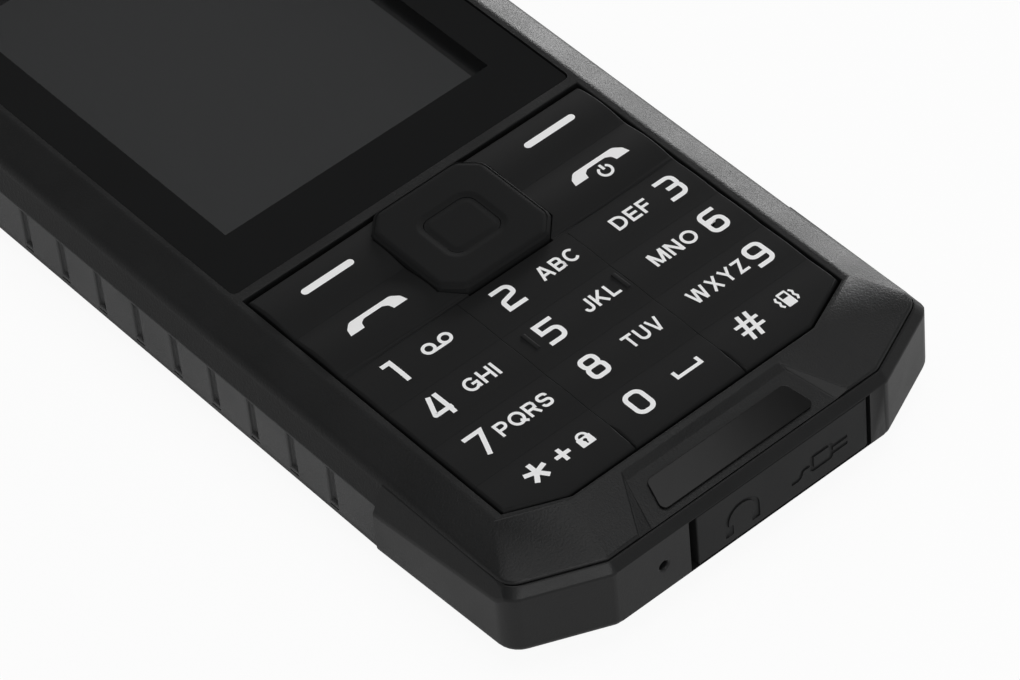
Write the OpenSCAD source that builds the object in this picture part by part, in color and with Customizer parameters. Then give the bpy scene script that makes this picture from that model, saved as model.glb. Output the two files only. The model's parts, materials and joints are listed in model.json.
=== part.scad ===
// Rugged bar phone with a keypad. Lies on its back: +Z out of the display, +Y towards the earpiece.
// Origin at the middle of the back. Millimetres.

/* [Body] */
// Length from the keypad's lower edge to the lower end
chin_len = 9.35; // [9:0.05:12]
// Length from the window's upper edge to the upper end
brow_len = 12.5; // [12:0.5:16]
// Strip of housing between the window and the keypad, keypad gap included
bridge_len = 1.7; // [1.5:0.05:3]
// Width from the keypad's side edge to the outside of the side rail
side_margin = 6.6; // [6.3:0.05:8]
// How far the bumpers stand proud of the side rails
bumper_step = 0.6; // [0.3:0.1:1.2]
// How far each bumper side draws in towards its corner
bumper_taper = 0.75; // [0.3:0.05:1.2]
// How much narrower the flat end wall is than the body, each side
corner_in = 10.9; // [9:0.1:13]
// Length that the corner facets take off each end
corner_len = 4.9; // [4:0.1:6]
// Rounding of the outer corner edges
corner_r = 3; // [1:0.5:4]
// Height of the rim above the back
rim_h = 15.1; // [14.8:0.1:16]
// Flat rim beside the keypad gap
rim_land = 0.95; // [0.6:0.05:1.5]
// Flat rim below the keypad gap
rim_edge = 0.3; // [0.1:0.1:1]
// Length of the slope at the upper end
brow_slope = 6.5; // [5:0.5:7]
// Drop from the rim to the housing's lower edge, where it meets the frame
seam_drop = 1.9; // [1.6:0.1:2.2]
// How far the seam lies in from the ends
seam_in = 1.2; // [1:0.1:1.6]
// How far the seam lies in from the rails
seam_side = 1.2; // [1.1:0.1:1.6]
// Height of the lip's bevel at the ends
lip_h = 1.1; // [0.8:0.1:1.5]
// Depth of the lip's bevel at the ends
lip_in = 0.9; // [0.6:0.1:1.05]
// Drop of the frame's top edge below the housing's edge
lip_drop = 0.4; // [0.2:0.1:0.6]
// Run of the bumpers' sloping sides, for the rise below
band_run = 1.65; // [1:0.05:2]
// Rise of the bumpers' sloping sides
band_rise = 3.6; // [3:0.1:5]
// Height of the bevel round the back
back_bevel_h = 3.8; // [3:0.1:4.2]
// Depth of the bevel round the back
back_bevel_in = 3.4; // [2.5:0.1:3.6]
// Thickness of the frame's end walls
end_wall = 3.4; // [3.2:0.1:4]
// Thickness of the frame's side walls
side_wall = 2.9; // [2.7:0.1:3.4]

/* [Side rails] */
// Length of the rails between the bumpers
rail_len = 82; // [70:1:90]
// Height of a rail
rail_h = 6.5; // [5:0.1:7]
// Thickness of a rail
rail_t = 1.2; // [0.8:0.1:1.4]
// Distance between the rail's grooves
groove_pitch = 6.87; // [4:0.01:12]
// Width of a groove
groove_w = 1.3; // [0.6:0.1:2.5]
// Depth of a groove
groove_t = 0.35; // [0.1:0.05:0.6]
// Number of grooves in a rail
groove_count = 11; // [3:1:12]
// Land left above a groove
groove_land = 0.5; // [0.2:0.1:1.5]

/* [Display] */
// Width of the display's active area
active_w = 36.72; // [33:0.01:38]
// Height of the display's active area
active_h = 48.96; // [44:0.01:52]
// Window border below the active area
border_low = 9.7; // [8:0.1:12]
// Window border above the active area
border_high = 5.54; // [5:0.1:8]
// Width by which the window exceeds the keypad
window_extra = 0.8; // [0:0.1:1]
// Thickness of the window
window_t = 2; // [1.4:0.1:2.1]
// Depth of the window's face below the rim
window_sunk = 0.2; // [0.1:0.05:0.4]
// Corner radius of the window
window_r = 0.8; // [0.4:0.1:3]
// Display module's edge beside the active area
lcd_side = 3; // [2:0.1:3.4]
// Display module's edge below the active area
lcd_low = 6; // [4:0.1:6.6]
// Display module's edge above the active area
lcd_high = 2.54; // [1.5:0.1:3]
// Thickness of the display module
lcd_t = 2.4; // [1.6:0.1:2.4]

/* [Keypad] */
// Width over the keys
keypad_w = 48.2; // [46:0.1:52]
// Height of the soft key row
soft_row = 8.4; // [7:0.05:10]
// Height of the call key row
call_row = 8.35; // [7:0.05:10]
// Height of a number row
number_row = 7.25; // [6.5:0.05:9]
// Height of the lowest row
last_row = 7.75; // [6.5:0.05:9]
// Width of the middle column
column_w = 15.8; // [14:0.1:17]
// Cut of the keypad's lower corners, across
corner_cut_x = 6.85; // [4:0.05:8]
// Cut of the keypad's lower corners, along
corner_cut_y = 3; // [2:0.05:4]
// Gap between two keys
key_gap = 0.2; // [0.15:0.05:0.4]
// Gap between the keys and the housing
keypad_gap = 0.35; // [0.25:0.05:0.6]
// Height of the crowns of the two upper rows above the rim
upper_rise = 0.4; // [0.2:0.05:0.6]
// Drop of the faces of the two upper rows from their crown to their edges
upper_crown = 0.6; // [0.2:0.05:0.8]
// Height of the crowns of the number rows above the rim
number_rise = 0.1; // [0:0.05:0.4]
// Drop of the faces of the number rows from their crown to their edges
number_crown = 0.2; // [0.1:0.05:0.4]
// Travel of a key
key_travel = 0.35; // [0.2:0.05:0.4]
// Radius of a key's plunger
plunger_r = 1.3; // [1:0.1:1.6]
// Width of the rocker
nav_w = 16.1; // [15:0.1:17]
// Height of the rocker along the phone
nav_len = 15.5; // [14.5:0.1:15.7]
// Cut of the rocker's corners
nav_cut = 2.3; // [1.5:0.1:3]
// Height of the rocker above the rim
nav_rise = 0.9; // [0.6:0.1:1.2]
// Gap round the rocker
nav_gap = 0.3; // [0.25:0.05:0.4]
// Width of the centre key
ok_w = 6.6; // [6:0.1:7.4]
// Length of the centre key
ok_len = 6.1; // [5.6:0.1:7]

/* [Stack] */
// Thickness of the battery cover
cover_t = 1.2; // [1.1:0.1:1.4]
// How far the cover's face lies inside the back
cover_sunk = 0.1; // [0.05:0.05:0.2]
// Thickness of the battery bay's floor
bay_floor_t = 0.8; // [0.6:0.1:1]
// Room between the main board and the keypad mat
mat_room = 1.4; // [1.3:0.05:1.6]
// Thickness of the main board
board_t = 0.8; // [0.6:0.1:0.9]
// Thickness of the keypad mat
mat_t = 0.8; // [0.6:0.1:0.9]
// Height of a snap dome
dome_h = 0.35; // [0.2:0.05:0.4]

/* [Battery] */
// Length of the battery
battery_len = 57.4; // [50:0.1:60]
// Width of the battery
battery_w = 42.2; // [38:0.1:43]
// Thickness of the battery
battery_t = 4.8; // [4:0.1:4.9]
// Length from the battery bay to the lower end
lower_end = 25; // [24:0.1:26]

/* [Sockets] */
// Radius of the headphone socket's bore
jack_r = 1.75; // [1.25:0.05:2]
// Length of the headphone socket
jack_len = 12; // [11:0.5:13]
// Place of the headphone socket across the phone
jack_x = -1.6; // [-2:0.1:-1.2]
// Place of the data socket across the phone
usb_x = 9.8; // [9:0.1:10.6]
// Place of the microphone across the phone
mic_x = -12.9; // [-14:0.1:-12.8]
// Left end of the port door
door_left = -8.1; // [-8.6:0.1:-7.6]
// Place of the port door's hinge across the phone
hinge_x = 16.1; // [15.6:0.1:16.8]
// Thickness of the port door
door_t = 1.6; // [1.2:0.1:1.6]
// Finger-nail gap at the door's free end
nail_gap = 1.1; // [0.6:0.1:1.4]

/* [Badge] */
// Width of the badge plate at its upper edge
badge_top_w = 19.8; // [14:0.2:20]
// Width of the badge plate at its lower edge
badge_low_w = 22; // [20:0.2:23]
// Length of the badge plate
badge_len = 3.9; // [3:0.1:4]
// Thickness of the badge plate
badge_t = 0.4; // [0.2:0.1:0.5]

/* [Fits] */
// Clearance round pieces that are laid in
fit_gap = 0.3; // [0.2:0.05:0.35]
// Clearance at seams
seam_gap = 0.1; // [0.05:0.05:0.15]
// Radius of a case screw's shank
screw_r = 0.8; // [0.7:0.05:0.9]
// Radius of a case screw's head
screw_head_r = 1.45; // [1.3:0.05:1.6]
// Radius of a cover screw's head
cover_screw_r = 3.1; // [2.6:0.1:3.4]

/* [Hidden] */
$fn = 64;
skin = 0.01;
far = 200;

// Lengths along the phone, from the lower end up
rows = [soft_row, call_row, number_row, number_row, number_row, last_row];
keypad_len = soft_row + call_row + 3 * number_row + last_row;
window_len = border_low + active_h + border_high;
body_len = chin_len + keypad_len + bridge_len + window_len + brow_len;
end_y = body_len / 2;
keypad_low_y = -end_y + chin_len;
keypad_high_y = keypad_low_y + keypad_len;
window_low_y = keypad_high_y + bridge_len;
active_low_y = window_low_y + border_low;
active_high_y = active_low_y + active_h;
window_high_y = active_high_y + border_high;

// Half widths
keypad_half = keypad_w / 2;
rail_x = keypad_half + side_margin;
bumper_x = rail_x + bumper_step;
corner_x = bumper_x - bumper_taper;
seam_x = rail_x - seam_side;
rim_x = keypad_half + keypad_gap + rim_land;
inner_x = rail_x - side_wall;
window_w = keypad_w + window_extra;

// Corner facets of the plan
facet = corner_len / corner_in;
facet_len = sqrt(1 + facet * facet);
end_x = corner_x - corner_in;

// Levels, from the back up
skirt_h = 0.8;
tape_t = 0.2;
stop_gap = 0.1;
seam_h = rim_h - seam_drop;
frame_top = seam_h - lip_drop;
lip_low = frame_top - lip_h;
deck_z = frame_top - skirt_h;
mat_top = deck_z;
mat_low = mat_top - mat_t;
board_top = mat_low - mat_room;
board_z = board_top - board_t;
dome_top = board_top + dome_h;
cover_top = cover_sunk + cover_t;
recess_z = cover_top + seam_gap;
battery_z = recess_z + fit_gap / 2;
bay_z = battery_z + battery_t + fit_gap / 2;
bay_top = bay_z + bay_floor_t;
lcd_z = board_top + fit_gap / 2;
window_top = rim_h - window_sunk;
window_z = window_top - window_t;
ledge_z = window_z - tape_t;
key_z = mat_top + key_travel + stop_gap;
plunger_z = dome_top + key_travel + stop_gap / 2;
rail_z = back_bevel_h;
rail_top = rail_z + rail_h;

// Points of a plan
function unit(v) = v / norm(v);
function flip(p) = [-p.x, p.y];
function down(p) = [p.x, -p.y];
function box_pts(x0, x1, y0, y1) = [[x0, y0], [x1, y0], [x1, y1], [x0, y1]];
function mid_box(x, y, w, h) = box_pts(x - w / 2, x + w / 2, y - h / 2, y + h / 2);
function cut_box(w, h, c) = [
    [w / 2, h / 2 - c], [w / 2 - c, h / 2], [c - w / 2, h / 2], [-w / 2, h / 2 - c],
    [-w / 2, c - h / 2], [c - w / 2, -h / 2], [w / 2 - c, -h / 2], [w / 2, c - h / 2]
];

// Corner b between a and c, rounded by an arc of n steps
function arc_at(a, b, c, r, n) =
    let (u = unit(a - b), v = unit(c - b), half = acos(u * v) / 2)
    let (centre = b + unit(u + v) * r / sin(half), s = b + u * r / tan(half) - centre)
    let (e = b + v * r / tan(half) - centre, a0 = atan2(s.y, s.x), raw = atan2(e.y, e.x) - a0)
    let (turn = raw > 180 ? raw - 360 : raw < -180 ? raw + 360 : raw)
    [for (k = [0:n]) centre + r * [cos(a0 + turn * k / n), sin(a0 + turn * k / n)]];
function rounded(p, r, n = 5) =
    let (m = len(p), radius = function (i) is_list(r) ? r[i] : r)
    [for (i = [0:m - 1]) each radius(i) == 0
        ? [p[i]] : arc_at(p[(i + m - 1) % m], p[i], p[(i + 1) % m], radius(i), n)];

// Plan of the body set in by d at an end, with half widths hc at the corner and hm at the rails
function facet_y(x, d) = end_y - facet * (x - end_x) - d * facet_len;
function end_pts(d, hc) = [[hc, facet_y(hc, d)], [end_x - d * (facet_len - 1) / facet, end_y - d]];
function plan(d_high, d_low, hc, hm) =
    let (h = end_pts(d_high, hc), l = end_pts(d_low, hc), m = rail_len / 2)
    [[hm, m], h[0], h[1], flip(h[1]), flip(h[0]), [-hm, m],
     [-hm, -m], flip(down(l[0])), flip(down(l[1])), down(l[1]), down(l[0]), [hm, -m]];
function plan_r(r) = [0, r, r / 2, r / 2, r, 0, 0, r, r / 2, r / 2, r, 0];
seam_r = corner_r - seam_in / 2;
function body_plan(d) = rounded(plan(d, d, corner_x - d, bumper_x - d), plan_r(corner_r));
function seam_plan(d) =
    rounded(plan(seam_in + d, seam_in + d, seam_x - d, seam_x - d), plan_r(seam_r));
rim_low = end_y + keypad_low_y - keypad_gap - rim_edge;
rim_plan = plan(brow_slope, rim_low, rim_x, rim_x);
inner_plan = plan(end_wall, end_wall, inner_x, inner_x);

// Outline of the keypad set out by d, with its cut lower corners
cut_turn = atan2(corner_cut_x, corner_cut_y);
function keypad_plan(d) =
    let (side_y = keypad_low_y + corner_cut_y - d * tan(cut_turn / 2))
    let (low_x = keypad_half - corner_cut_x + d * tan(45 - cut_turn / 2))
    [[keypad_half + d, keypad_high_y + d], [-keypad_half - d, keypad_high_y + d],
     [-keypad_half - d, side_y], [-low_x, keypad_low_y - d],
     [low_x, keypad_low_y - d], [keypad_half + d, side_y]];

// Rows and columns of keys
function row_high(i) = i == 0 ? keypad_high_y : row_high(i - 1) - rows[i - 1];
function row_mid(i) = row_high(i) - rows[i] / 2;
function crown(i) = i < 2 ? upper_crown : number_crown;
function key_top(i) = rim_h + (i < 2 ? upper_rise : number_rise);
function column_x(c) = c * (column_w / 2 + keypad_half) / 2;

// Display and earpiece
lcd_x = active_w / 2 + lcd_side;
lcd_low_y = active_low_y - lcd_low;
lcd_high_y = active_high_y + lcd_high;
tape_in = 0.3;
flex_t = 0.12;
flex_w = 18;
flex_len = 13;
ear_from_slope = 3;
ear_y = end_y - brow_slope - ear_from_slope;
ear_w = 11;
ear_slot = 1.6;
ear_can_w = 12;
ear_can_len = 5;
ear_can_r = 2;
mesh_edge = 0.6;
mesh_r = 1;

// Seal between the housing and the frame
seal_in = 0.45;
seal_w = 0.55;
seal_h = 0.5;

// Badge on the chin
badge_slope = 13.5;
badge_from_seam = 0.8;
badge_in = seam_in + badge_from_seam;
badge_r = 0.7;
badge_floor_z = frame_top + seam_gap / 2;
badge_step = 1.2;
badge_from_keys = 1.05;
badge_side = 1;
badge_low_side = 2.6;

// Battery bay, cover and cover screws
bay_low_y = -end_y + lower_end;
bay_high_y = bay_low_y + battery_len + 2 * fit_gap;
bay_x = battery_w / 2 + fit_gap;
bay_r = 1;
contact_w = 9;
contact_len = 3;
contact_drop = 2;
card_from_end = 14;
sim_x = -10;
sim_w = 17;
sim_len = 16;
card_x = 9.75;
card_w = 14.5;
card_len = 15;
holder_in = 0.2;
holder_cut = 1;
ring_in = 1;
ring_w = 1.2;
ring_wall = 0.4;
ring_high = contact_len + ring_wall;
ring_r = 1.5;
ring_h = 0.5;
cover_side = 4.2;
cover_low_len = 11.5;
cover_high_len = 9;
cover_x = bay_x + cover_side;
cover_low_y = bay_low_y - cover_low_len;
cover_high_y = bay_high_y + cover_high_len;
cover_r = 3;
lock_in_x = 5.7;
lock_in_y = 4.2;
lock_x = cover_x - lock_in_x;
lock_y = cover_low_y + lock_in_y;
lock_shank_r = 1.2;
lock_head_h = 0.7;
lock_slot_w = 0.9;
lock_slot_t = 0.3;
lock_end_z = 6;
lock_end_gap = 0.4;
lock_pillar_r = 3;
turn_gap = 0.1;
head_gap = 0.15;

// Case screws
screw_side = 0.4;
screw_in = 7;
screw_from_wall = 4.1;
screw_from_cover = 4.5;
screw_mid_x = inner_x - screw_from_wall;
screw_mid_y = cover_high_y + screw_from_cover;
screw_places = [[end_x + screw_side, end_y - screw_in], [end_x + screw_side, screw_in - end_y],
    [screw_mid_x, screw_mid_y]];
screw_seat_t = 2;
screw_seat_z = bay_top - screw_seat_t;
screw_head_h = 1;
screw_socket_t = 0.5;
boss_end_t = 0.6;
boss_end_z = deck_z - boss_end_t;
screw_end_z = boss_end_z - fit_gap;
thread_gap = 0.02;
boss_wall = 0.9;
boss_r = screw_r + boss_wall;
pillar_wall = 0.95;
pillar_r = screw_head_r + pillar_wall;

// Cavities of the frame
shell_t = 1.8;
shelf_t = 1.4;
cavity_z = recess_z + shelf_t;
bay_wall = 2.5;
shelf_wall = 1.5;

// Camera, torch and loudspeaker in the back
camera_from_end = 21;
camera_y = end_y - camera_from_end;
camera_r = 2.9;
camera_body_w = 8.4;
camera_body_h = 3.6;
camera_rim = 0.7;
glass_t = 0.9;
glass_sunk = 0.2;
torch_x = 8;
torch_r = 1.3;
torch_flange_r = 2;
torch_flange_t = 0.6;
led_w = 1.8;
led_h = 0.7;
speaker_x = -14;
speaker_w = 14;
speaker_len = 11;
speaker_h = 3.4;
speaker_r = 2;
slot_count = 5;
slot_pitch = 1.8;
slot_w = 0.9;
slot_len = 8;
speaker_mesh_edge = 1.5;
can_h = 1.5;
can_x = 16;
can_split_x = 3;
can_gap = 2;
can_from_shelf = 0.8;
can_from_camera = 0.8;

// Board, sockets and microphone
board_from_side = 2.3;
board_from_low = 5.1;
board_from_high = 5.6;
board_x = inner_x - board_from_side;
board_low_y = -end_y + end_wall + board_from_low;
board_high_y = end_y - end_wall - board_from_high;
mouth_y = -end_y + end_wall + seam_gap;
jack_w = 6.2;
jack_h = 4;
jack_end_t = 1;
jack_z = board_z - jack_h / 2;
plug_room = 1.2;
usb_w = 7.5;
usb_len = 5.6;
usb_h = 2.5;
usb_wall = 0.3;
usb_tongue_t = 0.6;
usb_tongue_in = 0.6;
usb_room = 0.35;
usb_z = board_z - usb_h / 2;
mic_r = 2;
mic_len = 1.5;
mic_hole_r = 0.55;
mic_drop = 1.3;
mic_z = board_z - mic_drop;

// Port door
door_rim = 0.2;
door_low = back_bevel_h + door_rim;
door_high = lip_low - door_rim;
door_gap = 0.15;
bead_r = door_t / 2;
hinge_y = -end_y + bead_r;
door_back = -end_y + door_t;
plug_len = 1;
plug_slack = 0.55;

// Keypad mat, domes and rocker
mat_in = 0.95;
mat_skirt = 1;
hole_gap = 0.45;
dome_r = 2;
small_dome_r = 1.5;
dome_taper = 0.6;
nav_y = row_high(1);
nav_pad_gap = 0.5;
nav_pad_z = mat_top + nav_pad_gap;
nav_pad_t = 0.5;
nav_pad_in = 1;
tilt_gap = 0.4;
nav_z = nav_pad_z + nav_pad_t + tilt_gap;
nav_top = rim_h + nav_rise;
nav_bevel = 0.4;
ok_sunk = 0.25;
ok_top = nav_top - ok_sunk;
ok_lift = 0.5;
ok_z = nav_z + ok_lift;
ok_r = 1.4;
dir_r = 0.9;
dir_reach = 5.6;

// Rails
seam_lip = 0.15;
groove_shift = 1.3;

// Solids that repeat
module slab(points, z0, z1) {
    translate([0, 0, z0]) linear_extrude(z1 - z0) polygon(points);
}
module block(x0, x1, y0, y1, z0, z1) {
    translate([x0, y0, z0]) cube([x1 - x0, y1 - y0, z1 - z0]);
}
module rod(x, y, z0, z1, r) {
    translate([x, y, z0]) cylinder(r = r, h = z1 - z0);
}
// A rod along Y
module rod_y(x, z, y0, y1, r) {
    translate([x, y0, z]) rotate([-90, 0, 0]) cylinder(r = r, h = y1 - y0);
}
module both_sides() {
    children();
    mirror([1, 0, 0]) children();
}
module screw_spots() {
    both_sides() for (p = screw_places) translate([p.x, p.y, 0]) children();
}
module ring_slab(outer, inner, z0, z1) {
    difference() {
        slab(outer, z0, z1);
        slab(inner, z0 - skin, z1 + skin);
    }
}

// Front shell
module chin_profile() {
    reach = chin_len - seam_in - badge_from_keys;
    rise = tan(badge_slope);
    polygon([
        [-end_y, badge_floor_z - seam_in * rise],
        [-end_y + seam_in + reach - badge_step, badge_floor_z + (reach - badge_step) * rise],
        [-end_y + seam_in + reach, rim_h], [-end_y, rim_h]
    ]);
}
module badge_recess() {
    top_x = badge_top_w / 2 + badge_side;
    low_x = badge_low_w / 2 + badge_low_side;
    intersection() {
        rotate([90, 0, 90]) linear_extrude(far, center = true) chin_profile();
        slab([[-low_x, -end_y], [low_x, -end_y], [top_x, keypad_low_y], [-top_x, keypad_low_y]], 0, far);
    }
}
module deck() {
    hull() {
        slab(seam_plan(0), deck_z, seam_h);
        slab(rim_plan, rim_h - skin, rim_h);
    }
}
// Sloping bands of the shell over the rails
module side_bands() {
    both_sides() rotate([90, 0, 0]) linear_extrude(rail_len - 2 * seam_gap, center = true)
        polygon([[seam_x - skin, rail_top], [rail_x, rail_top], [seam_x, seam_h], [seam_x - skin, seam_h]]);
}
module window_cut(d, z0, z1) {
    slab(rounded(box_pts(-window_w / 2 - d, window_w / 2 + d, window_low_y - d, window_high_y + d),
        window_r), z0, z1);
}
module lcd_cut(d, z0, z1) {
    block(-lcd_x - d, lcd_x + d, lcd_low_y - d, lcd_high_y + d, z0, z1);
}
module screw_bosses() {
    screw_spots() difference() {
        rod(0, 0, bay_top, deck_z, boss_r);
        rod(0, 0, bay_top - skin, boss_end_z, screw_r + thread_gap);
    }
}
module front_housing() {
    color("#2c2d2f") {
        difference() {
            deck();
            slab(keypad_plan(keypad_gap), 0, far);
            window_cut(seam_gap, ledge_z, far);
            lcd_cut(fit_gap, 0, far);
            slab(rounded(mid_box(0, ear_y, ear_w, ear_slot), ear_slot / 2 - skin), 0, far);
            badge_recess();
        }
        screw_bosses();
        side_bands();
    }
}
module display_window() {
    color("#161718") window_cut(0, window_z, window_top);
}
module window_adhesive() {
    color("#101010") difference() {
        window_cut(-tape_in, ledge_z, window_z);
        lcd_cut(fit_gap, 0, far);
    }
}
module lcd_module() {
    color("#34373a") lcd_cut(0, lcd_z, lcd_z + lcd_t);
}
module display_flex() {
    low_y = lcd_low_y + fit_gap;
    color("#b5762e") block(-flex_w / 2, flex_w / 2, low_y, low_y + flex_len, board_top, board_top + flex_t);
}
module earpiece() {
    color("#6a6c70")
        slab(rounded(mid_box(0, ear_y, ear_can_w, ear_can_len), ear_can_r), board_top, deck_z - tape_t);
}
module earpiece_mesh() {
    color("#202122")
        slab(rounded(mid_box(0, ear_y, ear_w + 2 * mesh_edge, ear_slot + 2 * mesh_edge), mesh_r),
            deck_z - tape_t, deck_z);
}
module badge_plate() {
    low_z = badge_floor_z + (badge_in - seam_in) * tan(badge_slope);
    pts = [[-badge_low_w / 2, 0], [badge_low_w / 2, 0],
           [badge_top_w / 2, badge_len], [-badge_top_w / 2, badge_len]];
    color("#1d1e20") translate([0, -end_y + badge_in, low_z]) rotate([badge_slope, 0, 0])
        linear_extrude(badge_t) polygon(rounded(pts, badge_r));
}
module housing_seal() {
    color("#1a1a1a") ring_slab(seam_plan(seal_in), seam_plan(seal_in + seal_w), deck_z - seal_h, deck_z);
}

// Keypad
module keypad_mat() {
    edge = keypad_gap + mat_in;
    color("#3a3b3d") {
        difference() {
            slab(keypad_plan(edge), mat_low, mat_top);
            key_places() rod(0, 0, 0, far, plunger_r + hole_gap);
            nav_places() rod(0, 0, 0, far, dir_r + hole_gap);
            rod(0, nav_y, 0, far, plunger_r + hole_gap);
        }
        ring_slab(keypad_plan(edge), keypad_plan(edge - mat_skirt), board_top, mat_low);
    }
}
// Plunger places of the side keys and the number keys
module key_places() {
    for (c = [-1, 1], i = [0:5]) translate([column_x(c), row_mid(i), 0]) children();
    for (i = [2:5]) translate([0, row_mid(i), 0]) children();
}
// Plunger places of the rocker
module nav_places() {
    for (a = [0:90:270]) translate([0, nav_y, 0]) rotate(a) translate([dir_reach, 0, 0]) children();
}
module row_cut(i, x0, x1) {
    g = key_gap / 2;
    polygon(box_pts(x0, x1, row_high(i) - rows[i] + g, row_high(i) - g));
}
// A key's outline raised to its face, which is an arc along the row
module crowned(i) {
    h = rows[i] / 2;
    r = (h * h + crown(i) * crown(i)) / (2 * crown(i));
    intersection() {
        translate([0, 0, key_z]) linear_extrude(rim_h) children();
        translate([-far / 2, row_mid(i), key_top(i) - r]) rotate([0, 90, 0])
            cylinder(r = r, h = far, $fn = 128);
    }
}
module plunger(x, y, z1) {
    rod(x, y, plunger_z, z1 + skin, plunger_r);
}
// Mirrors a right-hand key to the left-hand column
module on_side(c) {
    mirror([c < 0 ? 1 : 0, 0, 0]) children();
}
module number_key(c, i) {
    g = key_gap / 2;
    x0 = c == 0 ? -column_w / 2 + g : column_w / 2 + g;
    x1 = c == 0 ? column_w / 2 - g : keypad_half;
    color("#242526") on_side(c) {
        crowned(i) intersection() {
            polygon(keypad_plan(0));
            row_cut(i, x0, x1);
        }
        plunger(column_x(abs(c)), row_mid(i), key_z);
    }
}
module upper_key(c, i) {
    flat_w = nav_w - 2 * nav_cut + 2 * nav_gap;
    color("#242526") on_side(c) {
        crowned(i) difference() {
            row_cut(i, flat_w / 2, keypad_half);
            translate([0, nav_y])
                polygon(cut_box(nav_w + 2 * nav_gap, nav_len + 2 * nav_gap, nav_cut + nav_gap / 2));
        }
        plunger(column_x(1), row_mid(i), key_z);
    }
}
module key_1() { number_key(-1, 2); }
module key_2() { number_key(0, 2); }
module key_3() { number_key(1, 2); }
module key_4() { number_key(-1, 3); }
module key_5() { number_key(0, 3); }
module key_6() { number_key(1, 3); }
module key_7() { number_key(-1, 4); }
module key_8() { number_key(0, 4); }
module key_9() { number_key(1, 4); }
module key_star() { number_key(-1, 5); }
module key_0() { number_key(0, 5); }
module key_hash() { number_key(1, 5); }
module soft_key_left() { upper_key(-1, 0); }
module soft_key_right() { upper_key(1, 0); }
module call_key() { upper_key(-1, 1); }
module end_key() { upper_key(1, 1); }
function ok_pts(d) = rounded(mid_box(0, 0, ok_w + 2 * d, ok_len + 2 * d), ok_r);
module nav_ring() {
    color("#28292b") translate([0, nav_y, 0]) difference() {
        hull() {
            slab(cut_box(nav_w, nav_len, nav_cut), nav_z, nav_top - nav_bevel);
            slab(cut_box(nav_w - 2 * nav_bevel, nav_len - 2 * nav_bevel, nav_cut - nav_bevel / 2),
                nav_top - skin, nav_top);
        }
        slab(ok_pts(nav_gap), 0, far);
    }
}
module nav_pad() {
    color("#3a3b3d") {
        difference() {
            translate([0, nav_y, 0])
                slab(cut_box(nav_w - 2 * nav_pad_in, nav_len - 2 * nav_pad_in, nav_cut),
                    nav_pad_z, nav_pad_z + nav_pad_t);
            rod(0, nav_y, 0, far, plunger_r + hole_gap);
        }
        nav_places() rod(0, 0, plunger_z, nav_pad_z + skin, dir_r);
    }
}
module ok_key() {
    color("#28292b") {
        translate([0, nav_y, 0]) slab(ok_pts(0), ok_z, ok_top);
        plunger(0, nav_y, ok_z);
    }
}
module dome(r) {
    translate([0, 0, board_top]) cylinder(r1 = r, r2 = r * dome_taper, h = dome_h);
}
module snap_domes() {
    color("#b9babc") {
        key_places() dome(dome_r);
        translate([0, nav_y, 0]) dome(dome_r);
        nav_places() dome(small_dome_r);
    }
}

// Board and what is on it
module main_board() {
    color("#1f5a3a") difference() {
        union() {
            block(-board_x, board_x, board_low_y, board_high_y, board_z, board_top);
            block(jack_x - jack_w / 2, usb_x + usb_w / 2, mouth_y, board_low_y, board_z, board_top);
        }
        screw_spots() rod(0, 0, 0, far, boss_r + fit_gap);
    }
}
module shield_cans() {
    half_gap = can_gap / 2;
    low_y = cover_high_y + can_from_shelf;
    high_y = camera_y - camera_body_w / 2 - can_from_camera;
    color("#b8babd") {
        block(-can_x, can_split_x - half_gap, low_y, high_y, board_z - can_h, board_z);
        block(can_split_x + half_gap, can_x, low_y, high_y - 2 * can_gap, board_z - can_h, board_z);
    }
}
module usb_socket() {
    half = usb_w / 2;
    inner = half - usb_wall;
    back_y = mouth_y + usb_len - usb_wall;
    color("#a9abae") {
        difference() {
            block(usb_x - half, usb_x + half, mouth_y, mouth_y + usb_len, board_z - usb_h, board_z);
            block(usb_x - inner, usb_x + inner, mouth_y - skin, back_y,
                board_z - usb_h + usb_wall, board_z - usb_wall);
        }
        block(usb_x - half / 2, usb_x + half / 2, mouth_y + usb_tongue_in, back_y + skin,
            usb_z - usb_tongue_t / 2, usb_z + usb_tongue_t / 2);
    }
}
module headphone_jack() {
    end = mouth_y + jack_len;
    color("#1b1b1c") difference() {
        block(jack_x - jack_w / 2, jack_x + jack_w / 2, mouth_y, end, board_z - jack_h, board_z);
        rod_y(jack_x, jack_z, mouth_y - skin, end - jack_end_t, jack_r);
    }
}
module microphone() {
    color("#8e9094") rod_y(mic_x, mic_z, mouth_y, mouth_y + mic_len, mic_r);
}
module vibration_motor() {
    motor_r = 2.1;
    motor_len = 9;
    shaft_len = 0.5;
    weight_len = 3;
    weight_r = 1.9;
    motor_from_jack = 4;
    low_x = jack_x + jack_w / 2 + motor_from_jack;
    motor_y = mouth_y + usb_len + fit_gap + motor_r;
    color("#9a9ca0") translate([low_x, motor_y, cavity_z + motor_r + stop_gap]) rotate([0, 90, 0]) {
        cylinder(r = motor_r, h = motor_len);
        cylinder(r = motor_r / 4, h = motor_len + shaft_len + skin);
        translate([0, 0, motor_len + shaft_len]) difference() {
            cylinder(r = weight_r, h = weight_len);
            translate([0, -far / 2, -skin]) cube([far, far, far]);
        }
    }
}
module antenna() {
    half = 15;
    thick = 1.6;
    high_y = end_y - end_wall - seam_gap;
    color("#c9a24a") block(-half, half, high_y - thick, high_y, shell_t, bay_top);
}
module loudspeaker() {
    low_z = shell_t + tape_t;
    outline = mid_box(speaker_x, camera_y, speaker_w, speaker_len);
    color("#2a2a2c") slab(rounded(outline, speaker_r), low_z, low_z + speaker_h);
}
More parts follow.
